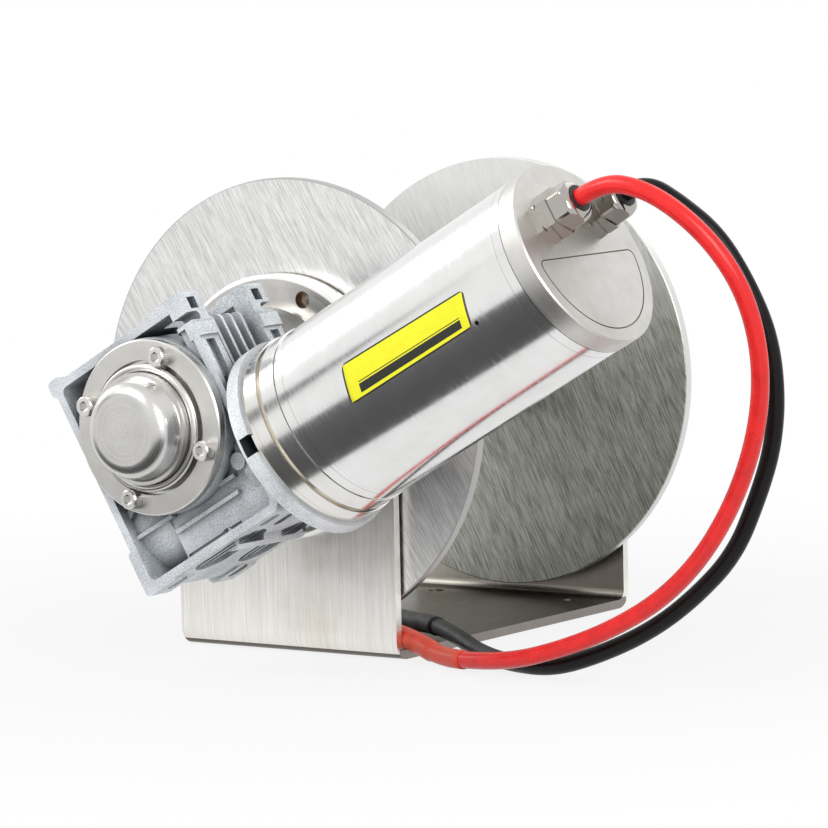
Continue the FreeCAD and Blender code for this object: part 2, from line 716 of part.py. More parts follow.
def corner_cuts():
    """Square pockets, round notches and shallow recesses in the corners beside the fins."""
    half = POCKET_SIZE / 2
    right = HOUSING_RIGHT + LUG_PROUD + 1
    pocket_left = HOUSING_RIGHT - POCKET_DEPTH
    cuts = both_ends(pocket_left, right, POCKET_HEIGHT - half, POCKET_HEIGHT + half,
                     POCKET_OFFSET - half, POCKET_OFFSET + half)
    notch_left = HOUSING_RIGHT - POST_THICKNESS - 1
    cuts += both_ends(notch_left, right, NOTCH_HEIGHT - NOTCH_RADIUS, NOTCH_HEIGHT + NOTCH_RADIUS,
                      NOTCH_INNER, HOUSING_HALF_DEPTH + 1)
    for side in (-1, 1):
        place = Vector(0, side * NOTCH_INNER, NOTCH_HEIGHT)
        cuts.append(cylinder(NOTCH_RADIUS, notch_left, right, X, place))
    cuts += both_ends(HOUSING_RIGHT - RECESS_DEPTH, right, RECESS_LOW, LUG_LOW - 2, RECESS_INNER,
                      RECESS_OUTER)
    cuts += both_ends(HOUSING_RIGHT - DARK_POCKET_DEPTH, right, DARK_POCKET_LOW, RECESS_LOW, RECESS_INNER,
                      RECESS_OUTER)
    return cuts


def obround(length, width, low, high, centre_x, centre_y):
    """A slot with round ends that lies along X, between two heights."""
    reach = length / 2 - width / 2
    bar = block((centre_x - reach, centre_y - width / 2, low),
                (centre_x + reach, centre_y + width / 2, high))
    ends = [cylinder(width / 2, low, high, Z, Vector(centre_x + side * reach, centre_y, 0))
            for side in (-1, 1)]
    return bar.fuse(ends)


def underside_slots():
    """Two long recesses under the worm with ribs left standing in them."""
    low = -HOUSING_FOOT - 2 * FOOT_PAD
    pitch = UNDER_SLOT_WIDTH / (UNDER_RIB_COUNT + 1)
    slots = []
    for side in (-1, 1):
        middle = side * UNDER_SLOT_OFFSET
        slot = obround(UNDER_SLOT_LENGTH, UNDER_SLOT_WIDTH, low, -HOUSING_FOOT + UNDER_SLOT_DEPTH,
                       UNDER_SLOT_CENTRE, middle)
        ribs = []
        for rib in range(UNDER_RIB_COUNT):
            place = middle - UNDER_SLOT_WIDTH / 2 + pitch * (rib + 1)
            half = UNDER_RIB_THICKNESS / 2
            ribs.append(block((-HOUSING_END, place - half, -HOUSING_FOOT + UNDER_RIB_RECESS),
                              (HOUSING_END, place + half, 0)))
        slots.append(slot.cut(ribs))
    return slots


def foot_slots():
    """Small slots with round ends in the underside's corners."""
    low = -HOUSING_FOOT - 2 * FOOT_PAD
    high = -HOUSING_FOOT + WALL + 1
    slots = []
    for side in (-1, 1):
        outer = side * (HOUSING_HALF_DEPTH - 1.5 * FOOT_SLOT_WIDTH)
        left = -HOUSING_LEFT + CORNER_SLOT_FROM_END
        right = HOUSING_RIGHT - CORNER_SLOT_FROM_END - WALL
        slots.append(obround(FOOT_SLOT_LENGTH, FOOT_SLOT_WIDTH, low, high, left, outer))
        slots.append(obround(FOOT_SLOT_LENGTH, FOOT_SLOT_WIDTH, low, high, right, outer))
        slots.append(obround(FOOT_SLOT_LENGTH, FOOT_SLOT_WIDTH, low, high, right - WALL / 2,
                             side * UNDER_SLOT_WIDTH / 2))
    return slots


def worm_tube():
    """The thick part of the casting round the worm, with its ribs and end bosses."""
    centre = Vector(0, 0, -CENTRE_DISTANCE)
    low = -HOUSING_FOOT + WALL / 2
    solids = [cylinder(TUBE_RADIUS, TUBE_BOSS_LEFT, HOUSING_RIGHT - 1, X, centre)]
    solids.append(cylinder(TUBE_BOSS_RADIUS, TUBE_BOSS_LEFT, TUBE_BOSS_RIGHT, X, centre))
    solids.append(cylinder(MOTOR_BOSS_RADIUS, MOTOR_BOSS_LEFT, HOUSING_RIGHT - 1, X, centre))
    solids.append(cylinder(WORM_BEARING_RADIUS + WALL, -HOUSING_END, TUBE_BOSS_LEFT, X, centre))
    solids.append(cylinder(INPUT_NECK_RADIUS - 3, HOUSING_RIGHT - WALL, HOUSING_END, X, centre))
    body = block((TUBE_BOSS_RIGHT, -TUBE_FRONT, low), (HOUSING_RIGHT - 1, TUBE_FRONT, -TUBE_TOP))
    edges = [edge for edge in body.Edges if abs(edge.tangentAt(edge.FirstParameter).x) > 0.99
             and edge.CenterOfMass.z > -CENTRE_DISTANCE]
    solids.append(body.makeFillet(TUBE_CORNER, edges))
    proud = TUBE_FRONT + TUBE_RIB_PROUD
    solids.append(tube_rib(LONG_RIB_START, LONG_RIB_END, LONG_RIB_DROP, proud))
    solids.append(tube_rib(SHORT_RIB_START, SHORT_RIB_END, SHORT_RIB_DROP, proud))
    solids.append(tube_rib(TUBE_BOSS_LEFT, BOSS_RIB_END, BOSS_RIB_DROP, TUBE_BOSS_RADIUS + TUBE_RIB_PROUD))
    half = TUBE_FRONT + HALF_DISC_PROUD
    solids.append(cylinder(HALF_DISC_RADIUS, -half, half, Y, Vector(HALF_DISC_PLACE, 0, low)))
    half = MOTOR_BOSS_RADIUS + 1
    solids.append(cylinder(PAD_RADIUS, -half, half, Y, Vector(PAD_PLACE, 0, PAD_HEIGHT)))
    return solids


def tube_rib(left, right, drop, half):
    """A thin rib along the worm tube, a little under the worm's axis, on both faces."""
    height = -CENTRE_DISTANCE - drop
    return block((left, -half, height - TUBE_RIB / 2), (right, half, height + TUBE_RIB / 2))


def tray_details():
    """Gussets and small round bosses inside the trays."""
    details = []
    reach = math.hypot(HOUSING_RIGHT - WALL, HOUSING_TOP - WALL)
    front = HOUSING_HALF_DEPTH - GUSSET_INSET
    for start, end in ((-front, -WEB_HALF), (WEB_HALF, front)):
        for angle in GUSSET_ANGLES:
            arm = block((CHAMBER_RADIUS, start, -GUSSET / 2), (reach - CORNER_RADIUS / 2, end, GUSSET / 2))
            arm.rotate(Vector(0, 0, 0), Y, -angle)
            details.append(arm)
    half = WEB_HALF + EYELET_LENGTH
    details.append(cylinder(EYELET_RADIUS, -half, half, Y, eyelet_place()))
    return details


def eyelet_place():
    """The small boss with a hole at the trays' lower left."""
    return Vector(-HOUSING_LEFT + WALL + 1, 0, -HOUSING_FOOT + EYELET_FROM_FOOT)


def gearbox_housing():
    shell = without(housing_shell(), fin_grooves())
    solids = [shell, cylinder(BOSS_RADIUS, -BOSS_FRONT, BOSS_REAR)]
    body = joined(solids + worm_tube() + tray_details())
    body = without(body, fin_grooves())
    body = joined([body] + fins() + corner_posts())
    cuts = corner_cuts() + foot_slots() + underside_slots()
    half = WEB_HALF + EYELET_LENGTH + 1
    cuts.append(cylinder(EYELET_HOLE, -half, half, Y, eyelet_place()))
    cuts.append(cylinder(CHAMBER_RADIUS, -BOSS_FRONT - 1, CHAMBER_HALF))
    cuts.append(cylinder(OUTPUT_BEARING_RADIUS, CHAMBER_HALF - 1, CHAMBER_HALF + BEARING_WIDTH))
    cuts.append(cylinder(SEAL_RADIUS, CHAMBER_HALF, BOSS_REAR + 1))
    worm_centre = Vector(0, 0, -CENTRE_DISTANCE)
    cuts.append(cylinder(WORM_BEARING_RADIUS, -HOUSING_END - 1, HOUSING_END + 1, X, worm_centre))
    for angle in SCREW_ANGLES:
        place = on_circle(SCREW_RING_RADIUS, angle)
        cuts.append(cylinder(M6_RADIUS, -BOSS_FRONT - 1, -BOSS_FRONT + M6_GRIP + 1, Y, place))
        cuts.append(cylinder(M6_RADIUS, BOSS_REAR - M6_GRIP - 1, BOSS_REAR + 1, Y, place))
        place = input_screw_place(angle)
        cuts.append(cylinder(INPUT_SCREW_RADIUS, HOUSING_END - M6_GRIP - 1, HOUSING_END + 1, X, place))
    return on_gearbox(without(body, cuts))


def input_screw_place(angle):
    """A screw's place round the motor's axis, in the gearbox's frame."""
    turn = math.radians(angle)
    return Vector(0, INPUT_SCREW_RING * math.cos(turn),
                  -CENTRE_DISTANCE + INPUT_SCREW_RING * math.sin(turn))


def gearbox_adapter():
    start = BOSS_REAR
    disc_face = BOSS_REAR + ADAPTER_LENGTH
    shapes = [
        cylinder(RING_RADIUS, start, start + ADAPTER_HEAD),
        cylinder(ADAPTER_NECK_RADIUS, start, disc_face),
        cylinder(ADAPTER_FLANGE_RADIUS, disc_face - ADAPTER_FLANGE, disc_face),
        cylinder(ADAPTER_SPIGOT_RADIUS, disc_face, disc_face + DISC_THICKNESS),
    ]
    body = joined(shapes)
    cuts = [cylinder(ADAPTER_BORE_RADIUS, start - 1, disc_face + DISC_THICKNESS + 1)]
    for angle in SCREW_ANGLES:
        cuts.append(cylinder(M6_RADIUS, start - 1, start + ADAPTER_HEAD + 1, Y,
                             on_circle(SCREW_RING_RADIUS, angle)))
        cuts.append(cylinder(M6_RADIUS, disc_face - ADAPTER_FLANGE + 1, disc_face + 1, Y,
                             on_circle(MOUNTING_SCREW_RING, angle)))
    return on_gearbox(without(body, cuts))


def adapter_screws():
    screws = [cap_screw(ADAPTER_HEAD + M6_GRIP, BOSS_REAR + ADAPTER_HEAD,
                        on_circle(SCREW_RING_RADIUS, angle), -1) for angle in SCREW_ANGLES]
    return on_gearbox(group(screws))


# Output side of the gearbox

def output_bearing_cover():
    """The round plug that holds the front bearing."""
    seat = -CHAMBER_HALF - BEARING_WIDTH
    plug = cylinder(CHAMBER_RADIUS, -BOSS_FRONT, -CHAMBER_HALF)
    cuts = [cylinder(OUTPUT_BEARING_RADIUS, seat, 0),
            cylinder(HUB_RADIUS + 1.5, -BOSS_FRONT - 1, 0)]
    return on_gearbox(without(plug, cuts))


def output_cover_ring():
    face = -BOSS_FRONT - RING_THICKNESS
    plate = ring(RING_RADIUS, RING_BORE_RADIUS, face, -BOSS_FRONT)
    rims = [edge for edge in plate.Edges if edge.isClosed() and near(edge, face, RING_RADIUS)]
    plate = plate.makeChamfer(0.8, rims)
    holes = [cylinder(M6_RADIUS, face - 1, 0, Y, on_circle(SCREW_RING_RADIUS, angle))
             for angle in SCREW_ANGLES]
    return on_gearbox(without(plate, holes))


def output_cover_cap():
    """The pressed dome over the shaft's end, turned from its outline."""
    lip = RING_BORE_RADIUS - 0.2
    bead = (CAP_BEAD_RADIUS - CAP_DOME_RADIUS) / 2
    bead_foot = CAP_BEAD_HEIGHT - bead
    inside = CAP_DOME_RADIUS - CAP_WALL
    slope = math.tan(CAP_TAPER)
    cone_foot = CAP_DOME_RADIUS - CAP_STEP
    bend_height = CAP_HEIGHT - CAP_SHOULDER
    cone_top = bend_height + CAP_SHOULDER * math.sin(CAP_TAPER)
    flat = cone_foot - (cone_top - CAP_STEP_HEIGHT) * slope - CAP_SHOULDER * math.cos(CAP_TAPER)
    cone_inside = cone_foot - CAP_WALL / math.cos(CAP_TAPER)
    inner_meeting = CAP_STEP_HEIGHT - (inside - cone_inside) / slope
    half_bend = (math.pi / 2 + CAP_TAPER) / 2

    def point(radius, height):
        return Vector(radius, -BOSS_FRONT - height, 0)

    def on_bend(radius, angle):
        return point(flat + radius * math.cos(angle), bend_height + radius * math.sin(angle))

    inner_bend = CAP_SHOULDER - CAP_WALL
    edges = [
        line(point(inside, 0), point(lip, 0)),
        line(point(lip, 0), point(lip, CAP_WALL)),
        line(point(lip, CAP_WALL), point(CAP_BEAD_RADIUS, CAP_WALL)),
        line(point(CAP_BEAD_RADIUS, CAP_WALL), point(CAP_BEAD_RADIUS, bead_foot)),
        arc(point(CAP_BEAD_RADIUS, bead_foot), point(CAP_BEAD_RADIUS - bead, CAP_BEAD_HEIGHT),
            point(CAP_DOME_RADIUS, bead_foot)),
        line(point(CAP_DOME_RADIUS, bead_foot), point(CAP_DOME_RADIUS, CAP_STEP_HEIGHT)),
        line(point(CAP_DOME_RADIUS, CAP_STEP_HEIGHT), point(cone_foot, CAP_STEP_HEIGHT)),
        line(point(cone_foot, CAP_STEP_HEIGHT), on_bend(CAP_SHOULDER, CAP_TAPER)),
        arc(on_bend(CAP_SHOULDER, CAP_TAPER), on_bend(CAP_SHOULDER, half_bend),
            point(flat, CAP_HEIGHT)),
        line(point(flat, CAP_HEIGHT), point(0, CAP_HEIGHT)),
        line(point(0, CAP_HEIGHT), point(0, CAP_HEIGHT - CAP_WALL)),
        line(point(0, CAP_HEIGHT - CAP_WALL), point(flat, CAP_HEIGHT - CAP_WALL)),
        arc(point(flat, CAP_HEIGHT - CAP_WALL), on_bend(inner_bend, half_bend),
            on_bend(inner_bend, CAP_TAPER)),
        line(on_bend(inner_bend, CAP_TAPER), point(inside, inner_meeting)),
        line(point(inside, inner_meeting), point(inside, 0)),
    ]
    face = Part.Face(Part.Wire(edges))
    return on_gearbox(face.revolve(Vector(0, 0, 0), Y, 360))


def line(start, end):
    return Part.LineSegment(start, end).toShape()


def arc(start, middle, end):
    return Part.Arc(start, middle, end).toShape()


def cover_screws():
    screws = [cap_screw(RING_THICKNESS + M6_GRIP, -BOSS_FRONT - RING_THICKNESS,
                        on_circle(SCREW_RING_RADIUS, angle)) for angle in SCREW_ANGLES]
    return on_gearbox(group(screws))


def output_bearing(start):
    return on_gearbox(ring(OUTPUT_BEARING_RADIUS, HUB_RADIUS + RUNNING_GAP, start, start + BEARING_WIDTH))


def output_seal(start):
    return on_gearbox(ring(SEAL_RADIUS, HUB_RADIUS + RUNNING_GAP, start, start + SEAL_WIDTH))


def wheel_hub():
    shoulder = CHAMBER_HALF - FACE_GAP
    shapes = [cylinder(HUB_RADIUS, -BOSS_FRONT, BOSS_REAR - FACE_GAP),
              cylinder(HUB_SHOULDER_RADIUS, -shoulder, shoulder),
              cylinder(WHEEL_BORE_RADIUS, -WHEEL_HALF_WIDTH, WHEEL_HALF_WIDTH)]
    body = on_gearbox(joined(shapes))
    shaft = on_drum_axis(cylinder(SHAFT_RADIUS, GEAR_PLANE - BOSS_FRONT - 1, GEAR_PLANE + BOSS_REAR + 1))
    return without(body, [shaft, on_drum_axis(key_block())])


def tooth_space():
    """One gap between two wheel teeth, at the bottom of the wheel beside the worm."""
    root = PITCH_RADIUS - 1.2 * MODULE
    tip = PITCH_RADIUS + MODULE + 1
    lean = math.tan(math.radians(20))
    half_pitch = WORM_PITCH / 4 + MESH_GAP
    half_root = half_pitch - (PITCH_RADIUS - root) * lean
    half_tip = half_pitch + (tip - PITCH_RADIUS) * lean
    reach = WHEEL_HALF_WIDTH + 2
    slant = reach / WORM_PITCH_RADIUS * MODULE / 2
    sections = []
    for side in (-1, 1):
        shift = -slant * side
        corners = [Vector(shift - half_root, side * reach, -root),
                   Vector(shift + half_root, side * reach, -root),
                   Vector(shift + half_tip, side * reach, -tip),
                   Vector(shift - half_tip, side * reach, -tip)]
        sections.append(Part.makePolygon(corners + [corners[0]]))
    return Part.makeLoft(sections, True, True)


def worm_wheel():
    blank = ring(PITCH_RADIUS + MODULE, WHEEL_BORE_RADIUS, -WHEEL_HALF_WIDTH, WHEEL_HALF_WIDTH)
    spaces = []
    for tooth in range(WHEEL_TEETH):
        space = tooth_space()
        space.rotate(Vector(0, 0, 0), Y, 360.0 / WHEEL_TEETH * tooth)
        spaces.append(space)
    return on_gearbox(without(blank, spaces))


def shaft_end_washer():
    face = GEAR_PLANE - BOSS_FRONT
    return on_drum_axis(ring(HUB_RADIUS, END_BOLT_RADIUS, face - END_WASHER, face))


def shaft_end_bolt():
    face = GEAR_PLANE - BOSS_FRONT
    seat = face - END_WASHER
    head = hexagon(END_BOLT_FLATS, seat - END_BOLT_HEAD, seat, Y, Vector(0, 0, 0))
    return on_drum_axis(head.fuse(cylinder(END_BOLT_RADIUS, seat, face + END_BOLT_LENGTH)))


# Worm

def worm_thread():
    """The helical ridge, made about Z and laid along the worm's axis."""
    root = WORM_PITCH_RADIUS - 1.2 * MODULE
    tip = WORM_PITCH_RADIUS + MODULE
    lean = math.tan(math.radians(20))
    half_pitch = WORM_PITCH / 4 - MESH_GAP
    half_root = half_pitch + (WORM_PITCH_RADIUS - root) * lean
    half_tip = half_pitch - MODULE * lean
    bury = 0.5
    helix = Part.makeHelix(WORM_PITCH, WORM_PITCH * WORM_TURNS, WORM_PITCH_RADIUS)
    section = Part.makePolygon([Vector(root - bury, 0, -half_root), Vector(tip, 0, -half_tip),
                                Vector(tip, 0, half_tip), Vector(root - bury, 0, half_root),
                                Vector(root - bury, 0, -half_root)])
    ridge = Part.Wire(helix).makePipeShell([section], True, True)
    ridge.translate(Vector(0, 0, -WORM_PITCH * WORM_TURNS / 2))
    return ridge


def along_worm(shape):
    """Lays a shape made about Z along the worm's axis, in the gearbox's frame."""
    moved = shape.copy()
    moved.rotate(Vector(0, 0, 0), Y, 90)
    moved.translate(Vector(0, 0, -CENTRE_DISTANCE))
    return moved


def worm_shaft():
    root = WORM_PITCH_RADIUS - 1.2 * MODULE
    core = cylinder(root, -WORM_BEARING_PLACE + 1, WORM_BEARING_PLACE - 1, Z)
    journal = cylinder(WORM_SHAFT_RADIUS, -WORM_HALF_LENGTH, WORM_FRONT_END, Z)
    bore = cylinder(INPUT_BORE_RADIUS, WORM_BEARING_PLACE - 5, WORM_FRONT_END + 1, Z)
    shaft = core.fuse(journal).fuse(worm_thread())
    return on_gearbox(along_worm(shaft.cut(bore)))


def worm_bearing(start):
    body = ring(WORM_BEARING_RADIUS, WORM_SHAFT_RADIUS + RUNNING_GAP, start, start + WORM_BEARING_WIDTH, Z)
    return on_gearbox(along_worm(body))


def worm_seal():
    start = WORM_BEARING_PLACE + WORM_BEARING_WIDTH
    body = ring(WORM_BEARING_RADIUS, WORM_SHAFT_RADIUS + RUNNING_GAP, start, start + SEAL_WIDTH, Z)
    return on_gearbox(along_worm(body))


def worm_end_cap():
    body = cylinder(WORM_BEARING_RADIUS, -HOUSING_END + 0.5, -WORM_HALF_LENGTH - 1, Z)
    return on_gearbox(along_worm(body))


# Motor, made along Z and laid on the worm's axis

def input_flange():
    neck = cylinder(INPUT_NECK_RADIUS, HOUSING_END, INPUT_FLANGE_START + 1, Z)
    plate = cylinder(INPUT_FLANGE_RADIUS, INPUT_FLANGE_START, INPUT_FLANGE_END, Z)
    body = joined([neck, plate])
    half = WINDOW_WIDTH / 2
    cuts = [cylinder(INPUT_HOLE_RADIUS, HOUSING_END - 1, INPUT_FLANGE_END + 1, Z),
            block((-half, -INPUT_FLANGE_RADIUS - 1, INPUT_FLANGE_END - WINDOW_LENGTH),
                  (half, -INPUT_FLANGE_RADIUS + WINDOW_DEPTH, INPUT_FLANGE_END + 1))]
    for angle in SCREW_ANGLES:
        place = input_screw_place_on_z(angle)
        cuts.append(cylinder(INPUT_SCREW_RADIUS, HOUSING_END - 1, INPUT_FLANGE_END + 1, Z, place))
        cuts.append(cylinder(INPUT_SCREW_RADIUS * 2, INPUT_FLANGE_END - INPUT_SCREW_HEAD,
                             INPUT_FLANGE_END + 1, Z, place))
    return on_gearbox(along_worm(without(body, cuts)))


def input_screw_place_on_z(angle):
    """The same screw places for shapes that are made about Z."""
    turn = math.radians(angle)
    return Vector(-INPUT_SCREW_RING * math.sin(turn), INPUT_SCREW_RING * math.cos(turn), 0)


def input_flange_screws():
    screws = []
    for angle in SCREW_ANGLES:
        place = input_screw_place_on_z(angle)
        head_start = INPUT_FLANGE_END - INPUT_SCREW_HEAD
        head = cylinder(INPUT_SCREW_RADIUS * 1.7, head_start, INPUT_FLANGE_END - FACE_GAP, Z, place)
        shank = cylinder(INPUT_SCREW_RADIUS, HOUSING_END - M6_GRIP, head_start, Z, place)
        screws.append(head.fuse(shank))
    return on_gearbox(along_worm(group(screws)))


def motor_front_bell():
    """The stepped front cover of the motor, turned from its outline."""
    groove_start = BELL_GROOVE - BELL_GROOVE_WIDTH / 2
    groove_end = BELL_GROOVE + BELL_GROOVE_WIDTH / 2
    inner = MOTOR_RADIUS - MOTOR_WALL
    shapes = [
        cylinder(BELL_STEP_RADIUS, INPUT_FLANGE_END, groove_start, Z),
        cylinder(MOTOR_RADIUS - 1, groove_start, groove_end, Z),
        cylinder(BELL_RADIUS, groove_end, BELL_END, Z),
        cylinder(inner, BELL_END, BELL_END + SPIGOT_LENGTH, Z),
    ]
    seat = BELL_END - MOTOR_BEARING_WIDTH
    cuts = [cylinder(MOTOR_SHAFT_RADIUS + 2, INPUT_FLANGE_END - 1, BELL_END, Z),
            cylinder(MOTOR_BEARING_RADIUS, seat, BELL_END + 1, Z),
            cylinder(inner - WALL, BELL_END, BELL_END + SPIGOT_LENGTH + 1, Z),
            ring(inner - WALL, MOTOR_BEARING_RADIUS + WALL, INPUT_FLANGE_END + BELL_FRONT_WALL,
                 BELL_END + 1, Z)]
    cuts += [cylinder(TIE_BOLT_RADIUS, INPUT_FLANGE_END - 1, BELL_END + SPIGOT_LENGTH + 1, Z, place)
             for place in tie_bolt_places()]
    return on_gearbox(along_worm(without(joined(shapes), cuts)))


def tie_bolt_places():
    """Two long bolts inside the tube, in the gaps between the magnets."""
    radius = MOTOR_RADIUS - MOTOR_WALL - TIE_BOLT_RADIUS - TIE_BOLT_CLEARANCE
    return [Vector(radius, 0, 0), Vector(-radius, 0, 0)]


def motor_tie_bolts():
    bolts = []
    for place in tie_bolt_places():
        bolts.append(cylinder(TIE_BOLT_RADIUS, INPUT_FLANGE_END + 1, MOTOR_END - TIE_BOLT_END, Z, place))
    return on_gearbox(along_worm(group(bolts)))


def motor_tube():
    inner = MOTOR_RADIUS - MOTOR_WALL
    return on_gearbox(along_worm(ring(MOTOR_RADIUS, inner, BELL_END, MOTOR_TUBE_END, Z)))


def gland_centre(side):
    """The middle of a gland round the motor's axis: -1 is the red one, 1 the black one."""
    across = GLAND_SPACING / 2
    rise = math.sqrt(GLAND_RADIUS ** 2 - across ** 2)
    return Vector(-rise, side * across, 0)


def panel_groove():
    """The engraved outline of the rating panel, a half disc with its straight side level."""
    outer = panel_shape(PANEL_RADIUS)
    inner = panel_shape(PANEL_RADIUS - PANEL_GROOVE)
    return outer.cut(inner)


def panel_shape(radius):
    inset = PANEL_RADIUS - radius
    start = MOTOR_END - PANEL_GROOVE_DEPTH
    full = cylinder(radius, start, MOTOR_END + 1, Z)
    half = full.cut(block((-2 * radius, -2 * radius, start - 1), (1 + inset, 2 * radius, MOTOR_END + 2)))
    corners = [edge for edge in half.Edges
               if abs(edge.CenterOfMass.x - 1 - inset) < 0.01
               and abs(abs(edge.CenterOfMass.y) - radius) < 0.5
               and abs(edge.Length - 1 - PANEL_GROOVE_DEPTH) < 0.01]
    return half.makeFillet(4 - inset, corners)


def motor_end_cap():
    plate = cylinder(MOTOR_RADIUS, MOTOR_TUBE_END, MOTOR_END, Z)
    rims = [edge for edge in plate.Edges if edge.isClosed()
            and abs(edge.CenterOfMass.z - MOTOR_END) < 0.01]
    plate = plate.makeChamfer(0.8, rims)
    inner = MOTOR_RADIUS - MOTOR_WALL
    spigot = cylinder(inner, MOTOR_TUBE_END - SPIGOT_LENGTH, MOTOR_TUBE_END, Z)
    rear = MOTOR_TUBE_END - SPIGOT_LENGTH
    cuts = [cylinder(inner - WALL, rear - 1, MOTOR_TUBE_END, Z).cut(
                cylinder(REAR_BEARING_RADIUS + WALL, rear - 2, MOTOR_TUBE_END + 1, Z)),
            cylinder(REAR_BEARING_RADIUS, rear - 1, rear + REAR_BEARING_WIDTH + 1, Z),
            panel_groove()]
    for side in (-1, 1):
        cuts.append(cylinder(GLAND_STEM_RADIUS, rear - 1, MOTOR_END + 1, Z, gland_centre(side)))
    cuts += [cylinder(TIE_BOLT_RADIUS, rear - 1, MOTOR_END - TIE_BOLT_END, Z, place)
             for place in tie_bolt_places()]
    return on_gearbox(along_worm(without(plate.fuse(spigot), cuts)))


def motor_shaft():
    rear = MOTOR_TUBE_END - SPIGOT_LENGTH
    shapes = [cylinder(INPUT_BORE_RADIUS, WORM_BEARING_PLACE - 3, INPUT_FLANGE_END + 2, Z),
              cylinder(MOTOR_SHAFT_RADIUS, INPUT_FLANGE_END + 2, COMMUTATOR_START + COMMUTATOR_LENGTH + 4, Z),
              cylinder(REAR_JOURNAL_RADIUS, COMMUTATOR_START + COMMUTATOR_LENGTH + 4,
                       rear + REAR_BEARING_WIDTH, Z)]
    return on_gearbox(along_worm(joined(shapes)))


def motor_bearing_front():
    start = BELL_END - MOTOR_BEARING_WIDTH
    body = ring(MOTOR_BEARING_RADIUS, MOTOR_SHAFT_RADIUS + RUNNING_GAP, start, BELL_END, Z)
    return on_gearbox(along_worm(body))


def motor_bearing_rear():
    rear = MOTOR_TUBE_END - SPIGOT_LENGTH
    body = ring(REAR_BEARING_RADIUS, REAR_JOURNAL_RADIUS + RUNNING_GAP, rear, rear + REAR_BEARING_WIDTH, Z)
    return on_gearbox(along_worm(body))


def armature_core():
    """The slotted iron core on the motor's shaft."""
    end = ARMATURE_START + ARMATURE_LENGTH
    body = ring(ARMATURE_RADIUS, MOTOR_SHAFT_RADIUS, ARMATURE_START, end, Z)
    slots = []
    for turn in range(ARMATURE_SLOTS):
        slot = block((ARMATURE_RADIUS - ARMATURE_SLOT_DEPTH, -ARMATURE_SLOT_WIDTH / 2, ARMATURE_START - 1),
                     (ARMATURE_RADIUS + 1, ARMATURE_SLOT_WIDTH / 2, end + 1))
        slot.rotate(Vector(0, 0, 0), Z, 360.0 / ARMATURE_SLOTS * turn)
        slots.append(slot)
    return on_gearbox(along_worm(without(body, slots)))


def commutator():
    body = ring(COMMUTATOR_RADIUS, MOTOR_SHAFT_RADIUS, COMMUTATOR_START,
                COMMUTATOR_START + COMMUTATOR_LENGTH, Z)
    return on_gearbox(along_worm(body))


def motor_magnets():
    """Two curved magnets on the tube's inner wall."""
    outer = MOTOR_RADIUS - MOTOR_WALL
    whole = ring(outer, outer - MAGNET_THICKNESS, ARMATURE_START - MAGNET_OVERHANG,
                 ARMATURE_START + ARMATURE_LENGTH + MAGNET_OVERHANG, Z)
    gap = block((-outer - 1, -MAGNET_GAP, 0), (outer + 1, MAGNET_GAP, MOTOR_END))
    return on_gearbox(along_worm(group(whole.cut(gap).Solids)))


def brush_plate():
    """The plate behind the commutator with a holder for each brush."""
    start = COMMUTATOR_START + COMMUTATOR_LENGTH + 1
    outer = MOTOR_RADIUS - MOTOR_WALL
    plate = ring(outer, COMMUTATOR_RADIUS + 2, start, start + BRUSH_PLATE, Z)
    half = HOLDER_WIDTH / 2
    holders = []
    for side in (-1, 1):
        near_y = side * (COMMUTATOR_RADIUS + 10 * FACE_GAP)
        far_y = side * (COMMUTATOR_RADIUS + BRUSH_LENGTH + 10 * FACE_GAP)
        holders.append(block((-half, min(near_y, far_y), COMMUTATOR_START + 1),
                             (half, max(near_y, far_y), start + 1)))
    cuts = [brush_block(side) for side in (-1, 1)]
    cuts += [cylinder(TIE_BOLT_RADIUS, start - 1, start + BRUSH_PLATE + 1, Z, place)
             for place in tie_bolt_places()]
    return on_gearbox(along_worm(without(joined([plate] + holders), cuts)))


def brush_block(side):
    near_y = side * (COMMUTATOR_RADIUS + FACE_GAP)
    far_y = side * (COMMUTATOR_RADIUS + FACE_GAP + BRUSH_LENGTH)
    low = COMMUTATOR_START + (COMMUTATOR_LENGTH - BRUSH_HEIGHT) / 2
    return block((-BRUSH_WIDTH / 2, min(near_y, far_y), low),
                 (BRUSH_WIDTH / 2, max(near_y, far_y), low + BRUSH_HEIGHT))


def carbon_brushes():
    return on_gearbox(along_worm(group([brush_block(side) for side in (-1, 1)])))


# Cable glands

def gland_lock_nut(side):
    centre = gland_centre(side)
    nut = hexagon(GLAND_FLATS, MOTOR_END, MOTOR_END + GLAND_NUT, Z, centre)
    end = MOTOR_END + GLAND_NUT
    nut = nut.common(cone(GLAND_FLATS / 2 + 2.6, GLAND_FLATS / 2 + 0.4, MOTOR_END, end + 3, Z, centre))
    return on_gearbox(along_worm(nut.cut(cylinder(GLAND_STEM_RADIUS, MOTOR_END - 1, end + 1, Z, centre))))


def gland_body(side):
    centre = gland_centre(side)
    start = MOTOR_END + GLAND_NUT
    end = start + GLAND_BODY
    bar = hexagon(GLAND_FLATS, start, end, Z, centre)
    bar = bar.common(cone(GLAND_FLATS / 2 + 0.6, GLAND_FLATS / 2 + 6, start, end, Z, centre))
    stem = cylinder(GLAND_STEM_RADIUS, MOTOR_END - GLAND_STEM, start, Z, centre)
    bore = cylinder(CABLE_DIAMETER / 2 + 0.5, MOTOR_END - GLAND_STEM - 1, end + 1, Z, centre)
    return on_gearbox(along_worm(bar.fuse(stem).cut(bore)))


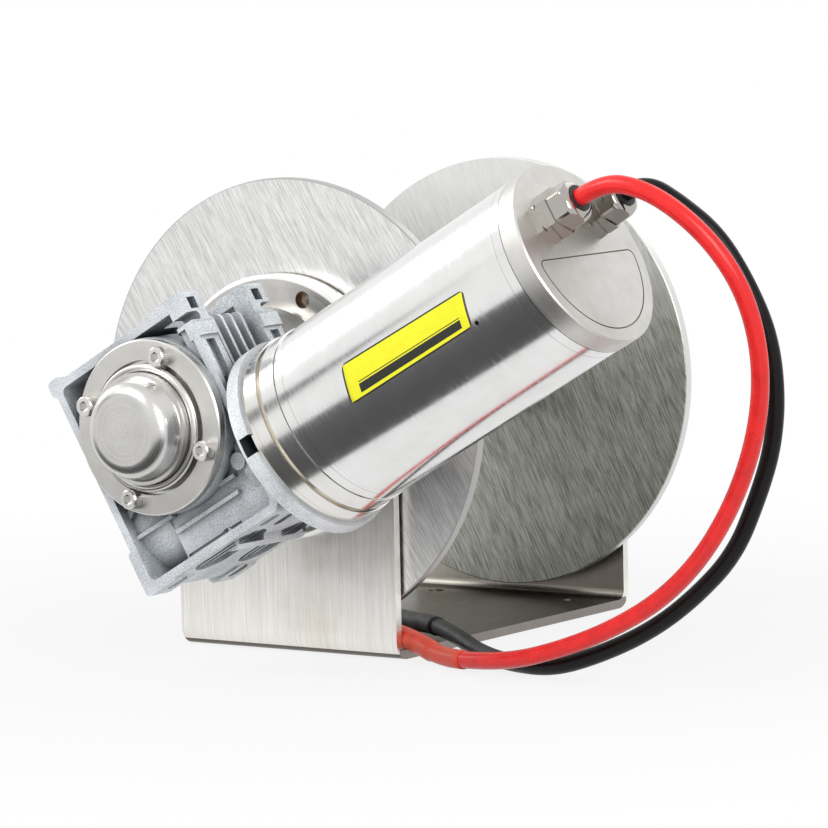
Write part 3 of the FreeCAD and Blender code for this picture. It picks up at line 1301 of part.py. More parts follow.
def gland_dome_nut(side):
    """The clamping nut: six flats that run out into a round nose."""
    centre = gland_centre(side)
    start = MOTOR_END + GLAND_NUT + GLAND_BODY
    nose = cylinder(GLAND_DOME_RADIUS, start, GLAND_FACE, Z, centre)
    tip = [edge for edge in nose.Edges if edge.isClosed()
           and abs(edge.CenterOfMass.z - GLAND_FACE) < 0.01]
    nose = nose.makeFillet(GLAND_NOSE_RADIUS, tip)
    body = nose.common(hexagon(GLAND_DOME_FLATS, start - 1, GLAND_FACE + 1, Z, centre))
    mouth = cylinder(GLAND_SEAL_RADIUS, start - 1, GLAND_FACE + 1, Z, centre)
    return on_gearbox(along_worm(body.cut(mouth)))


def gland_seal(side):
    centre = gland_centre(side)
    start = MOTOR_END + GLAND_NUT + GLAND_BODY
    return on_gearbox(along_worm(cylinder(GLAND_SEAL_RADIUS, start, SOCKET_FACE, Z, centre)))


# Cables

def on_motor(point):
    """A point given about the motor's axis, as a place in the part."""
    marker = Part.Vertex(point)
    return on_gearbox(along_worm(marker)).Point


def full_route(side, points):
    """The cable's corner points from the gland's mouth to its end."""
    centre = gland_centre(side)
    mouth = on_motor(centre + Z * SOCKET_FACE)
    first = on_motor(centre + Z * (SOCKET_FACE + FIRST_RUN))
    return [mouth, first] + [on_route(point) for point in points]


def on_route(point):
    """A corner point of a route, with its depth counted from the near leg."""
    return Vector(point[0], NEAR_FACE + point[1], point[2])


def bend_radius(before, corner, after):
    """The largest arc that the two runs at a corner allow."""
    run_in = corner - before
    run_out = after - corner
    turn = run_in.getAngle(run_out)
    return BEND_SHARE * min(run_in.Length, run_out.Length) / math.tan(turn / 2)


def route_edges(points):
    """Straight runs joined by tangent arcs."""
    edges = []
    here = points[0]
    for before, corner, after in zip(points, points[1:], points[2:]):
        run_in = (corner - before).normalize()
        run_out = (after - corner).normalize()
        setback = BEND_SHARE * min((corner - before).Length, (after - corner).Length)
        start = corner - run_in * setback
        end = corner + run_out * setback
        radius = bend_radius(before, corner, after)
        half = run_in.getAngle(run_out) / 2
        inward = (run_out - run_in).normalize()
        middle = corner + inward * (radius / math.cos(half) - radius)
        edges.append(line(here, start))
        edges.append(arc(start, middle, end))
        here = end
    edges.append(line(here, points[-1]))
    return edges


def tube_along(edges, radius):
    """A round bar swept along joined edges."""
    path = Part.Wire(edges)
    start = edges[0].valueAt(edges[0].FirstParameter)
    direction = edges[0].tangentAt(edges[0].FirstParameter)
    circle = Part.Wire(Part.Circle(start, direction, radius).toShape())
    return path.makePipeShell([circle], True, True)


def cable(name, side, points):
    route = full_route(side, points)
    edges = route_edges(route)
    body = tube_along(edges, CABLE_DIAMETER / 2)
    length = sum(edge.Length for edge in edges)
    radii = [bend_radius(*three) for three in zip(route, route[1:], route[2:])]
    section = math.pi * (CABLE_DIAMETER / 2) ** 2
    print(name, "length", round(length, 1))
    print(name, "volume share", round(body.Volume / (section * length), 4))
    print(name, "radii", [round(radius) for radius in radii])
    print(name, "lowest", round(body.BoundBox.ZMin, 2))
    return body


def cable_sleeve(side, points, runs):
    """The shrunk-on sleeve round the cable's last runs."""
    edges = route_edges(full_route(side, points))[-2 * runs:]
    outer = tube_along(edges, CABLE_DIAMETER / 2 + SLEEVE_WALL)
    inner = tube_along(edges, CABLE_DIAMETER / 2)
    return outer.cut(inner)


def ring_terminal(points):
    """A crimped lug on the cable's end: a barrel, a flat palm and an eye."""
    end = on_route(points[-1])
    before = on_route(points[-2])
    heading = (end - before).normalize()
    reach = LUG_BARREL_LENGTH + LUG_EYE_REACH
    barrel = cylinder(LUG_BARREL_RADIUS, 0, LUG_BARREL_LENGTH, X)
    low = -LUG_PALM / 2
    palm = block((LUG_BARREL_LENGTH - 3, -LUG_EYE_RADIUS * 0.8, low), (reach, LUG_EYE_RADIUS * 0.8, -low))
    eye = cylinder(LUG_EYE_RADIUS, low, -low, Z, Vector(reach, 0, 0))
    hole = cylinder(LUG_HOLE_RADIUS, low - 1, 1 - low, Z, Vector(reach, 0, 0))
    lug = joined([barrel, palm, eye]).cut(hole)
    lug.rotate(Vector(0, 0, 0), Z, math.degrees(math.atan2(heading.y, heading.x)))
    lug.translate(end)
    return lug


def all_nodes():
    """Every sub-part by name."""
    rear_bearing = CHAMBER_HALF
    front_bearing = -CHAMBER_HALF - BEARING_WIDTH
    nodes = {
        "mounting_frame": mounting_frame(),
        "gearbox_mounting_disc": gearbox_mounting_disc(),
        "mounting_screws": mounting_screws(),
        "gearbox_adapter": gearbox_adapter(),
        "adapter_screws": adapter_screws(),
        "gearbox_housing": gearbox_housing(),
        "output_bearing_cover": output_bearing_cover(),
        "output_cover_ring": output_cover_ring(),
        "output_cover_cap": output_cover_cap(),
        "cover_screws": cover_screws(),
        "output_bearing_front": output_bearing(front_bearing),
        "output_bearing_rear": output_bearing(rear_bearing),
        "output_seal_rear": output_seal(rear_bearing + BEARING_WIDTH),
        "worm_bearing_front": worm_bearing(WORM_BEARING_PLACE),
        "worm_bearing_rear": worm_bearing(-WORM_BEARING_PLACE - WORM_BEARING_WIDTH),
        "worm_seal": worm_seal(),
        "worm_end_cap": worm_end_cap(),
        "input_flange": input_flange(),
        "input_flange_screws": input_flange_screws(),
        "motor_front_bell": motor_front_bell(),
        "motor_tube": motor_tube(),
        "motor_end_cap": motor_end_cap(),
        "motor_tie_bolts": motor_tie_bolts(),
        "motor_magnets": motor_magnets(),
        "motor_bearing_front": motor_bearing_front(),
        "motor_bearing_rear": motor_bearing_rear(),
        "brush_plate": brush_plate(),
        "carbon_brushes": carbon_brushes(),
        "far_bearing_housing": far_bearing_housing(),
        "far_bush": far_bush(),
        "far_bearing_screws": far_bearing_screws(),
        "near_thrust_washer": near_thrust_washer(),
        "drum_shaft": drum_shaft(),
        "shaft_key": shaft_key(),
        "near_flange": drum_flange(NEAR_FLANGE_FACE),
        "far_flange": drum_flange(BARREL_END),
        "drum_barrel": drum_barrel(),
        "rope_clamp": rope_clamp(),
        "rope_clamp_screw": rope_clamp_screw(),
        "far_spacer": far_spacer(),
        "wheel_hub": wheel_hub(),
        "worm_wheel": worm_wheel(),
        "shaft_end_washer": shaft_end_washer(),
        "shaft_end_bolt": shaft_end_bolt(),
        "worm_shaft": worm_shaft(),
        "motor_shaft": motor_shaft(),
        "armature_core": armature_core(),
        "commutator": commutator(),
        "red_cable": cable("red", -1, RED_ROUTE),
        "black_cable": cable("black", 1, BLACK_ROUTE),
        "red_ring_terminal": ring_terminal(RED_ROUTE),
        "black_ring_terminal": ring_terminal(BLACK_ROUTE),
        "red_sleeve": cable_sleeve(-1, RED_ROUTE, RED_SLEEVED_RUNS),
        "black_sleeve": cable_sleeve(1, BLACK_ROUTE, BLACK_SLEEVED_RUNS),
    }
    for colour, side in (("red", -1), ("black", 1)):
        nodes[colour + "_gland_lock_nut"] = gland_lock_nut(side)
        nodes[colour + "_gland_dome_nut"] = gland_dome_nut(side)
    nodes["gland_bodies"] = group([gland_body(-1), gland_body(1)])
    nodes["gland_seals"] = group([gland_seal(-1), gland_seal(1)])
    return nodes


os.makedirs("parts", exist_ok=True)
for node_name, node_shape in all_nodes().items():
    if not node_shape.isValid():
        print("not valid:", node_name)
    node_shape.exportStep(os.path.join("parts", node_name + ".step"))
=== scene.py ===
"""Looks of an electric drum winch: brushed steel drum and frame, cast gearbox, polished motor
and two battery cables.

The scene is in metres with +Z up, and the drum turns about +Y. Sizes and places on the winch are
constants in millimetres. Those of the camera, the lamps and the cards are in metres.
"""

import math

import bpy
from mathutils import Matrix, Vector


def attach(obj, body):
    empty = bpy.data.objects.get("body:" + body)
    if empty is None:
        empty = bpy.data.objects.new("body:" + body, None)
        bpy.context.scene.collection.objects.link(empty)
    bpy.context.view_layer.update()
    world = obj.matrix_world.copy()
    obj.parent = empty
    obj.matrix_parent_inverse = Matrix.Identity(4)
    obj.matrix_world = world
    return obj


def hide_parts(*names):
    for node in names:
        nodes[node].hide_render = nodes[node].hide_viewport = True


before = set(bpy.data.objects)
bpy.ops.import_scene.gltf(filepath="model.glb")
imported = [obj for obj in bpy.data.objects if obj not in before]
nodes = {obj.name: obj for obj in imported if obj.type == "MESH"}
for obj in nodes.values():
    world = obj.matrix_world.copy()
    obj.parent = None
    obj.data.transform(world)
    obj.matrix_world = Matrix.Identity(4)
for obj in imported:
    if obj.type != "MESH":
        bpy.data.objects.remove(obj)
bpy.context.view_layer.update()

MM = 0.001
X, Y, Z = 0, 1, 2

# Places of the drive, as the CAD has them
AXIS_HEIGHT = 131.0
GEAR_PLANE = -189.0
CENTRE_DISTANCE = 40.0
TILT = math.radians(30)
MOTOR_RADIUS = 49.0

# Camera: the lens and the sensor in millimetres, places and distances in metres
FOCAL_LENGTH = 218.275
SENSOR_WIDTH = 36
VIEW_TURN = math.radians(34.5)
VIEW_RISE = math.radians(5.791)
VIEW_ROLL = math.radians(-1.226)
VIEW_DISTANCE = 2.71878
VIEW_TARGET = Vector((0.01463, -0.01298, 0.11781))
VIEW_REACH = 20

# Where painted shade and painted light lie: the distance to the legs' inner faces, and heights
# over the underside
LEG_INSIDE = 111.5
BASE_TOP = 6.0
FADE_HEIGHT = 250.0

# Where a finish changes: distances from the drum's axis
FLANGE_BEVEL = 119.2
DISC_BEVEL = 67.5
DISC_FACE = 65.0

# Where a finish changes: stretches along the motor, measured from the drum's axis
TUBE_SEAMS = ((83.8, 84.3), (240.6, 241.2))
TUBE_LINES = ((89.5, 89.8), (235.2, 235.5))
BELL_TINTS = (((72.7, 74.3), (0.70, 0.63, 0.48)), ((65.0, 66.4), (0.78, 0.74, 0.66)))
ENGRAVED_DEPTH = (251.2, 251.85)
ENGRAVED_RADIUS = 45.5
WINDOW_LENGTH = (55.5, 61.9)
WINDOW_WIDTH = (34.9, 45.1)
WINDOW_FRONT = -40.3

# Small screw in the motor tube: its place along the motor and its angle up from the side
TUBE_SCREW = (208.6, -13.2)
TUBE_SCREW_RADIUS = 1.1

# Cables
CABLE_DIAMETER = 9.0
RED_ROUTE = [
    (249.1, -209.5, 250.6), (263, -209.5, 258.6), (284, -207, 255), (303, -203, 243),
    (319, -197, 225.5), (329, -190, 204), (331, -181, 178), (326, -172, 151), (315, -164, 123),
    (298, -156, 95), (277, -150, 69), (251, -145, 47), (220, -142, 30), (189, -141, 18),
    (158, -138, 9.5), (121, -126, 5.5), (97, -115, 5.2), (80, -107, 9), (58, -98, 12.2),
    (36, -90, 11.5), (16, -86, 11.5),
]
BLACK_ROUTE = [
    (249.1, -168.5, 250.6), (261, -168.5, 256), (279, -166, 245.5), (296, -161, 231),
    (308, -155, 209), (317, -148, 182), (318, -143, 153), (313, -139, 125), (301, -135, 98),
    (286, -132, 70), (261, -129, 47), (235, -127, 29), (205, -126, 15), (175, -127, 5.2),
    (143, -119, 5), (112, -99, 5.5), (88, -83, 10), (62, -67, 13), (40, -55, 11.5),
    (22, -45, 11.5),
]
ROUTE_STEPS = 10
ROUTE_ORDER = 3
CABLE_ROUNDING = 6

# Each layer of shrink sleeve: where it starts, as a distance in X, and its diameter
RED_LAYERS = [(121.0, 10.0), (92.0, 11.2)]
BLACK_LAYERS = [(66.0, 10.2)]
LAYER_EDGE = 0.5
SLEEVE_FIT = 0.05
SLEEVE_SIDES = 24

# Label on the motor: places along the motor and angles up from the side, corner by corner
LABEL_TOP = ((127.5, 10.6), (210.4, 7.5))
LABEL_BOTTOM = ((122.5, -12.8), (205.4, -13.9))
LABEL_LENGTH = 83.0
LABEL_HEIGHT = 20.0
LABEL_CORNER = 3.0
LABEL_THICKNESS = 0.2
LABEL_GAP = 0.02
LABEL_CORNER_ROWS = [0, 0.2, 0.6, 1.2, 2, 3]
LABEL_ROWS = 8
LABEL_COLUMNS = 24

# Print on the label, as shares of its length and height
LABEL_RIM = (0.012, 0.045)
LABEL_PRINT = (0.10, 0.93)
LABEL_BANDS = ((0.59, 0.615), (0.65, 0.87))

# Cover screws with ridged heads
COVER_SCREW_RING = 38.0
COVER_SCREW_ANGLES = (45, 135, 225, 315)
COVER_HEAD_MIDDLE = -43.6
COVER_HEAD_RADIUS = 5.0
RIDGE_SINK = 0.05
RIDGE_RADIUS = 0.28
RIDGE_LENGTH = 4.4
RIDGE_SIDES = 6
RIDGE_COUNT = 34

# Studio, in metres
FLOOR_HALF = 6.0
FLOOR_GREY = 0.55
# How white the floor looks, from its distance to the winch's middle
FLOOR_FADE = [(0.15, 0.84), (0.6, 1.0)]
SOFT_LIGHT_COLOUR = (0.92, 0.93, 0.95, 1)
SOFT_LIGHT_STRENGTH = 0.68
# Name, place, size and power
LAMPS = [
    ("key", (-1.2, -2.2, 2.2), 1.6, 40),
    ("side", (-2.4, -0.2, 1.4), 1.4, 12),
    ("fill", (2.2, -1.6, 1.2), 1.4, 30),
    ("back", (0.4, 2.0, 2.2), 1.6, 7),
]
# Name, corners and grey
CARDS = [
    ("floor_flag", [(-0.55, -0.68, 0.004), (0.40, -0.68, 0.004), (0.40, -0.285, 0.004),
                    (-0.55, -0.285, 0.004)], 0.06),
    ("side_flag", [(-1.66, -1.12, 0.26), (-1.31, -1.51, 0.26), (-1.31, -1.51, 0.66),
                   (-1.66, -1.12, 0.66)], 0.22),
]

# A face looks along an axis where that part of its normal is over this
FACING_LIMIT = 0.5

# Sockets of the node that mixes two colours
MIX_SHARE, MIX_BELOW, MIX_ABOVE, MIX_RESULT = 0, 6, 7, 2


def on_gearbox(u, y, w):
    """A place given along the motor, in depth and across, as a point of the part."""
    x = u * math.cos(TILT) - w * math.sin(TILT)
    z = u * math.sin(TILT) + w * math.cos(TILT)
    return Vector((x, GEAR_PLANE + y, AXIS_HEIGHT + z)) * MM


def on_motor(u, angle, radius):
    """A place on the motor, from its length, its angle up from the side and its radius."""
    turn = math.radians(angle)
    return on_gearbox(u, -radius * math.cos(turn), -CENTRE_DISTANCE + radius * math.sin(turn))


# Short calls for Blender's data

def add_object(name, data):
    made = bpy.data.objects.new(name, data)
    bpy.context.scene.collection.objects.link(made)
    return made


def new_mesh(name, vertices, faces):
    mesh = bpy.data.meshes.new(name)
    mesh.from_pydata(vertices, [], faces)
    return mesh


def made_mesh(maker):
    """What an object's curve or modifiers make, as a plain mesh."""
    bpy.context.view_layer.update()
    shown = maker.evaluated_get(bpy.context.evaluated_depsgraph_get())
    return bpy.data.meshes.new_from_object(shown)


def add_node(tree, kind, **settings):
    made = tree.nodes.new(kind)
    for key, value in settings.items():
        setattr(made, key, value)
    return made


def wire(tree, pairs):
    """Links each output to its input."""
    for output, target in pairs:
        tree.links.new(output, target)


def seen_rays(tree):
    """One for rays from the camera, in reflections and through glass, zero for the rest."""
    rays = add_node(tree, "ShaderNodeLightPath").outputs
    seen = rays["Is Camera Ray"]
    for kind in ("Is Glossy Ray", "Is Transmission Ray"):
        either = add_node(tree, "ShaderNodeMath", operation="MAXIMUM")
        wire(tree, ((seen, either.inputs[0]), (rays[kind], either.inputs[1])))
        seen = either.outputs[0]
    return seen


def camera():
    """The photograph's point of view."""
    back = Vector((math.sin(VIEW_TURN) * math.cos(VIEW_RISE),
                   -math.cos(VIEW_TURN) * math.cos(VIEW_RISE), math.sin(VIEW_RISE)))
    right = (-back).cross(Vector((0, 0, 1))).normalized()
    up = right.cross(-back)
    level = Matrix((right, up, back)).transposed()
    rolled = level @ Matrix.Rotation(VIEW_ROLL, 3, "Z")
    data = bpy.data.cameras.new("camera")
    data.sensor_width = SENSOR_WIDTH
    data.lens = FOCAL_LENGTH
    data.clip_end = VIEW_REACH
    eye = add_object("camera", data)
    eye.matrix_world = Matrix.Translation(VIEW_TARGET + back * VIEW_DISTANCE) @ rolled.to_4x4()
    bpy.context.scene.camera = eye


# Materials

class Finish:
    """A material with its shader, and short calls for the patterns that feed it."""

    def __init__(self, name, colour, metallic, roughness):
        self.material = bpy.data.materials.new(name)
        self.material.use_nodes = True
        self.tree = self.material.node_tree
        self.shader = self.tree.nodes["Principled BSDF"]
        self.shader.inputs["Base Color"].default_value = (*colour, 1)
        self.shader.inputs["Metallic"].default_value = metallic
        self.shader.inputs["Roughness"].default_value = roughness
        coordinates = self.node("ShaderNodeTexCoord")
        self.place = coordinates.outputs["Object"]
        self.facing = coordinates.outputs["Normal"]
        self.flat = coordinates.outputs["UV"]

    def join(self, output, target):
        self.tree.links.new(output, target)

    def node(self, kind, **settings):
        return add_node(self.tree, kind, **settings)

    def maths(self, operation, *values):
        """A maths node, fed with numbers or with the outputs of other nodes."""
        made = self.node("ShaderNodeMath", operation=operation)
        for socket, value in zip(made.inputs, values):
            if isinstance(value, (int, float)):
                socket.default_value = value
            else:
                self.join(value, socket)
        return made.outputs[0]

    def apart(self, vector):
        """The three outputs of a vector."""
        made = self.node("ShaderNodeSeparateXYZ")
        self.join(vector, made.inputs[0])
        return made.outputs

    def between(self, value, low, high):
        """One where a value lies between two others, zero elsewhere."""
        return self.maths("MULTIPLY", self.maths("GREATER_THAN", value, low),
                          self.maths("LESS_THAN", value, high))

    def within(self, value, stretch):
        """One where a place lies in a stretch given in millimetres."""
        low, high = stretch
        return self.between(value, low * MM, high * MM)

    def reach(self, x, y):
        """Distance from a line, from the two places across it."""
        squares = [self.maths("MULTIPLY", side, side) for side in (x, y)]
        return self.maths("SQRT", self.maths("ADD", *squares))

    def mapped(self, turn=(0, 0, 0), scale=(1, 1, 1), centre=(0, 0, 0)):
        """Object coordinates, moved to a centre, turned and stretched."""
        vector = self.place
        shift = [-part for part in centre]
        for setting, value in (("Location", shift), ("Rotation", turn), ("Scale", scale)):
            made = self.node("ShaderNodeMapping")
            made.inputs[setting].default_value = value
            self.join(vector, made.inputs["Vector"])
            vector = made.outputs[0]
        return vector

    def about(self, centre, turn):
        """Distance from an axis, and the place along it."""
        across, other, along = self.apart(self.mapped(turn=turn, centre=centre))
        return self.reach(across, other), along

    def noise(self, scale, detail=4.0, roughness=0.55, vector=None):
        made = self.node("ShaderNodeTexNoise")
        made.inputs["Scale"].default_value = scale
        made.inputs["Detail"].default_value = detail
        made.inputs["Roughness"].default_value = roughness
        self.join(vector or self.place, made.inputs["Vector"])
        return made.outputs["Fac"]

    def ramp(self, value, stops):
        """Maps a value to colours or greys: stops are (place, colour)."""
        made = self.node("ShaderNodeValToRGB")
        band = made.color_ramp
        while len(band.elements) < len(stops):
            band.elements.new(0.5)
        for element, (place, colour) in zip(band.elements, stops):
            if not isinstance(colour, tuple):
                colour = (colour, colour, colour)
            element.position = place
            element.color = (*colour, 1)
        self.join(value, made.inputs["Fac"])
        return made.outputs["Color"]

    def colour(self, value, stops):
        self.join(self.ramp(value, stops), self.shader.inputs["Base Color"])

    def gloss(self, value, stops):
        self.join(self.ramp(value, stops), self.shader.inputs["Roughness"])

    def paint(self, mask, colour, how="MIX"):
        """Lays a colour over the present one where the mask is one."""
        target = self.shader.inputs["Base Color"]
        made = self.node("ShaderNodeMix", data_type="RGBA", blend_type=how)
        self.join(target.links[0].from_socket, made.inputs[MIX_BELOW])
        made.inputs[MIX_ABOVE].default_value = (*colour, 1)
        self.join(mask, made.inputs[MIX_SHARE])
        self.join(made.outputs[MIX_RESULT], target)

    def bump(self, value, distance, strength):
        """Adds relief, with its height in millimetres, to what is there already."""
        made = self.node("ShaderNodeBump")
        made.inputs["Strength"].default_value = strength
        made.inputs["Distance"].default_value = distance * MM
        self.join(value, made.inputs["Height"])
        previous = self.shader.inputs["Normal"]
        if previous.is_linked:
            self.join(previous.links[0].from_socket, made.inputs["Normal"])
        self.join(made.outputs["Normal"], previous)

    def off_axis(self, axis):
        """One on faces that don't look along an axis, zero on those that do."""
        facing = self.maths("ABSOLUTE", self.apart(self.facing)[axis])
        return self.maths("LESS_THAN", facing, FACING_LIMIT)

    def paint_corner_shade(self, reach, shade):
        """Painted shade: darkens the places that stand close to other faces, where shade falls."""
        made = self.node("ShaderNodeAmbientOcclusion", samples=8)
        made.inputs["Distance"].default_value = reach * MM
        hidden = self.maths("SUBTRACT", 1, made.outputs["AO"])
        self.paint(hidden, shade, "MULTIPLY")


# Each axis as a point of it and the turn that lays it along Z
DRUM_AXIS = ((0, 0, AXIS_HEIGHT * MM), (math.radians(90), 0, 0))
MOTOR_TURN = (0, -math.radians(60), 0)
MOTOR_AXIS = (tuple(on_gearbox(0, 0, -CENTRE_DISTANCE)), MOTOR_TURN)
GEAR_CENTRE = tuple(on_gearbox(0, 0, 0))


def brushed(name, light, dark, slope, marks, roughness, grain=0.03):
    """Sheet steel with brush marks along one direction, a slope in degrees down to the right.

    marks are the scales along and across the direction, and grain is the relief's height.
    """
    steel = Finish(name, light, metallic=1.0, roughness=roughness)
    turn = (0, -math.radians(slope), 0)
    along, across = marks
    fine = steel.mapped(turn=turn, scale=(along, along, across))
    coarse = steel.mapped(turn=turn, scale=(along / 3, along / 3, across / 6))
    lines = steel.noise(1.0, 4.0, 0.7, fine)
    broad = steel.noise(1.0, 3.0, 0.6, coarse)
    mixed = steel.maths("ADD", steel.maths("MULTIPLY", lines, 0.8),
                        steel.maths("MULTIPLY", broad, 0.2))
    steel.colour(mixed, [(0.40, dark), (0.60, light)])
    steel.gloss(lines, [(0.3, roughness - 0.06), (0.7, roughness + 0.1)])
    steel.bump(lines, grain, 0.4)
    return steel


def frame_steel():
    """Light plate with a fine cross grain and stains, and painted shade between the legs."""
    steel = brushed("frame steel", light=(0.93, 0.91, 0.87), dark=(0.80, 0.78, 0.745), slope=90,
                    marks=(30, 1300), roughness=0.36)
    crossing = steel.noise(1.0, 2.0, 0.6, steel.mapped(scale=(40, 40, 1300)))
    steel.bump(crossing, 0.02, 0.3)
    stain = steel.noise(14, 4.0, 0.6)
    steel.paint(steel.ramp(stain, [(0.48, 0.0), (0.72, 0.6)]), (0.78, 0.74, 0.74), "MULTIPLY")
    elsewhere = steel.mapped(centre=(0.3, 0, 0), scale=(22, 22, 22))
    handled = steel.noise(1.0, 3.0, 0.5, elsewhere)
    steel.paint(steel.ramp(handled, [(0.55, 0.0), (0.75, 0.5)]), (0.90, 0.86, 0.72), "MULTIPLY")
    # Painted shade: the base and the legs' inner faces between the legs are darkened where the
    # drum shades them and they mirror dark parts.
    place = steel.apart(steel.place)
    inside = steel.maths("LESS_THAN", steel.maths("ABSOLUTE", place[Y]), LEG_INSIDE * MM)
    painted_inner_shade = steel.maths("MULTIPLY", inside, steel.off_axis(X))
    steel.paint(painted_inner_shade, (0.42, 0.40, 0.37), "MULTIPLY")
    # Painted shade, darker still, on the base's top between the legs.
    low = steel.maths("LESS_THAN", place[Z], BASE_TOP * MM)
    steel.paint(steel.maths("MULTIPLY", inside, low), (0.32, 0.30, 0.29), "MULTIPLY")
    return steel.material


def near_flange_steel():
    """Bright face with long brush marks, and a darker bevel round it."""
    steel = brushed("near flange steel", light=(0.91, 0.91, 0.895), dark=(0.62, 0.62, 0.61),
                    slope=58, marks=(80, 1700), roughness=0.33)
    radius, _ = steel.about(*DRUM_AXIS)
    steel.paint(steel.maths("GREATER_THAN", radius, FLANGE_BEVEL * MM), (0.45, 0.45, 0.44))
    return steel.material


def far_flange_steel():
    """Short steep marks; painted shade makes it darker and greener, with painted light towards the
    top and a lighter rim.
    """
    # Painted shade: the same steel as the near flange, darkened and greened as the shaded
    # reflection of the near flange's back.
    steel = brushed("far flange steel", light=(0.46, 0.465, 0.425), dark=(0.19, 0.195, 0.175),
                    slope=64, marks=(80, 1500), roughness=0.38, grain=0.04)
    # Painted light: lighter towards the top, above the near flange's shade.
    height = steel.maths("MULTIPLY", steel.apart(steel.place)[Z], 1 / (FADE_HEIGHT * MM))
    steel.paint(steel.ramp(height, [(0.62, 0.0), (0.95, 0.75)]), (0.93, 0.93, 0.92))
    steel.paint(steel.off_axis(Y), (0.72, 0.74, 0.71))
    return steel.material


def turned(name, light, dark, axis, roughness):
    """Metal machined on a lathe, with fine rings about an axis."""
    steel = Finish(name, light, metallic=1.0, roughness=roughness)
    radius, along = steel.about(*axis)
    rings = steel.node("ShaderNodeCombineXYZ")
    steel.join(radius, rings.inputs[X])
    steel.join(along, rings.inputs[Y])
    grain = steel.noise(1600, 2.0, 0.6, rings.outputs[0])
    steel.colour(steel.noise(60), [(0.3, dark), (0.7, light)])
    steel.gloss(grain, [(0.3, roughness - 0.05), (0.7, roughness + 0.07)])
    steel.bump(grain, 0.012, 0.3)
    return steel


def disc_steel():
    """Mid grey face, bright bevel, and brown inside the holes."""
    steel = turned("disc steel", light=(0.64, 0.625, 0.60), dark=(0.48, 0.465, 0.45),
                   axis=DRUM_AXIS, roughness=0.32)
    radius, _ = steel.about(*DRUM_AXIS)
    steel.paint(steel.maths("GREATER_THAN", radius, DISC_BEVEL * MM), (0.85, 0.84, 0.83))
    in_face = steel.maths("LESS_THAN", radius, DISC_FACE * MM)
    steel.paint(steel.maths("MULTIPLY", steel.off_axis(Y), in_face), (0.30, 0.21, 0.15))
    return steel.material


def cover_steel():
    """Plain turned steel of the cover ring, the adapter and the drum's bearings."""
    return turned("cover steel", light=(0.72, 0.71, 0.68), dark=(0.62, 0.61, 0.58),
                  axis=DRUM_AXIS, roughness=0.34).material


def cap_steel():
    """The pressed cap: satin, with a fine grain all over."""
    steel = turned("cap steel", light=(0.69, 0.68, 0.665), dark=(0.60, 0.59, 0.57),
                   axis=DRUM_AXIS, roughness=0.26)
    steel.bump(steel.noise(1300, 3.0, 0.6), 0.02, 0.25)
    return steel.material


def tube_steel():
    """The polished motor tube, with its seams, two fine lines and one small sunk screw."""
    steel = turned("motor tube steel", light=(0.84, 0.84, 0.835), dark=(0.78, 0.78, 0.77),
                   axis=MOTOR_AXIS, roughness=0.15)
    _, along = steel.about(*MOTOR_AXIS)
    for stretch in TUBE_SEAMS:
        steel.paint(steel.within(along, stretch), (0.12, 0.11, 0.10))
    for stretch in TUBE_LINES:
        steel.paint(steel.within(along, stretch), (0.5, 0.5, 0.49))
    gap = steel.node("ShaderNodeVectorMath", operation="DISTANCE")
    steel.join(steel.place, gap.inputs[0])
    gap.inputs[1].default_value = on_motor(*TUBE_SCREW, MOTOR_RADIUS)
    screw = steel.maths("LESS_THAN", gap.outputs["Value"], TUBE_SCREW_RADIUS * MM)
    steel.paint(screw, (0.06, 0.06, 0.06))
    return steel.material


def bell_steel():
    """The motor's stepped front, with a warm tint in its grooves."""
    steel = turned("motor bell steel", light=(0.84, 0.83, 0.81), dark=(0.76, 0.755, 0.74),
                   axis=MOTOR_AXIS, roughness=0.17)
    _, along = steel.about(*MOTOR_AXIS)
    for stretch, tint in BELL_TINTS:
        steel.paint(steel.within(along, stretch), tint)
    return steel.material


def end_cap_steel():
    """Satin face with a dark line in its engraved outline."""
    steel = turned("end cap steel", light=(0.68, 0.665, 0.64), dark=(0.58, 0.565, 0.54),
                   axis=MOTOR_AXIS, roughness=0.4)
    radius, along = steel.about(*MOTOR_AXIS)
    in_face = steel.maths("LESS_THAN", radius, ENGRAVED_RADIUS * MM)
    floor = steel.maths("MULTIPLY", steel.within(along, ENGRAVED_DEPTH), in_face)
    steel.paint(floor, (0.22, 0.18, 0.15))
    return steel.material


def cast(name, light, dark):
    """Blasted cast alloy: a sandy skin with bright grains, and painted shade in its corners."""
    skin = Finish(name, light, metallic=0.25, roughness=0.5)
    sand = skin.noise(1500, 3.0, 0.75)
    cloud = skin.noise(45, 5.0, 0.6)
    mixed = skin.maths("ADD", skin.maths("MULTIPLY", sand, 0.7),
                       skin.maths("MULTIPLY", cloud, 0.3))
    skin.colour(mixed, [(0.43, dark), (0.55, light)])
    skin.gloss(sand, [(0.3, 0.34), (0.7, 0.6)])
    skin.bump(sand, 0.20, 0.7)
    skin.bump(cloud, 0.25, 0.3)
    # Painted shade in the corners and between the fins
    skin.paint_corner_shade(13, (0.10, 0.11, 0.12))
    return skin


def flange_cast():
    """The flange before the motor, dark inside its window."""
    skin = cast("flange alloy", (0.90, 0.92, 0.935), (0.58, 0.60, 0.62))
    across, depth, along = skin.apart(skin.mapped(turn=MOTOR_TURN, centre=GEAR_CENTRE))
    window = skin.maths("MULTIPLY", skin.within(along, WINDOW_LENGTH),
                        skin.within(across, WINDOW_WIDTH))
    in_front = skin.maths("LESS_THAN", depth, WINDOW_FRONT * MM)
    skin.paint(skin.maths("MULTIPLY", window, in_front), (0.035, 0.04, 0.045))
    return skin.material


def plain_metal(name, colour, roughness):
    """Small bright metal parts with faint handling marks."""
    steel = Finish(name, colour, metallic=1.0, roughness=roughness)
    marks = steel.noise(220, 5.0, 0.65)
    steel.gloss(marks, [(0.3, roughness - 0.06), (0.75, roughness + 0.08)])
    steel.bump(marks, 0.01, 0.2)
    return steel.material


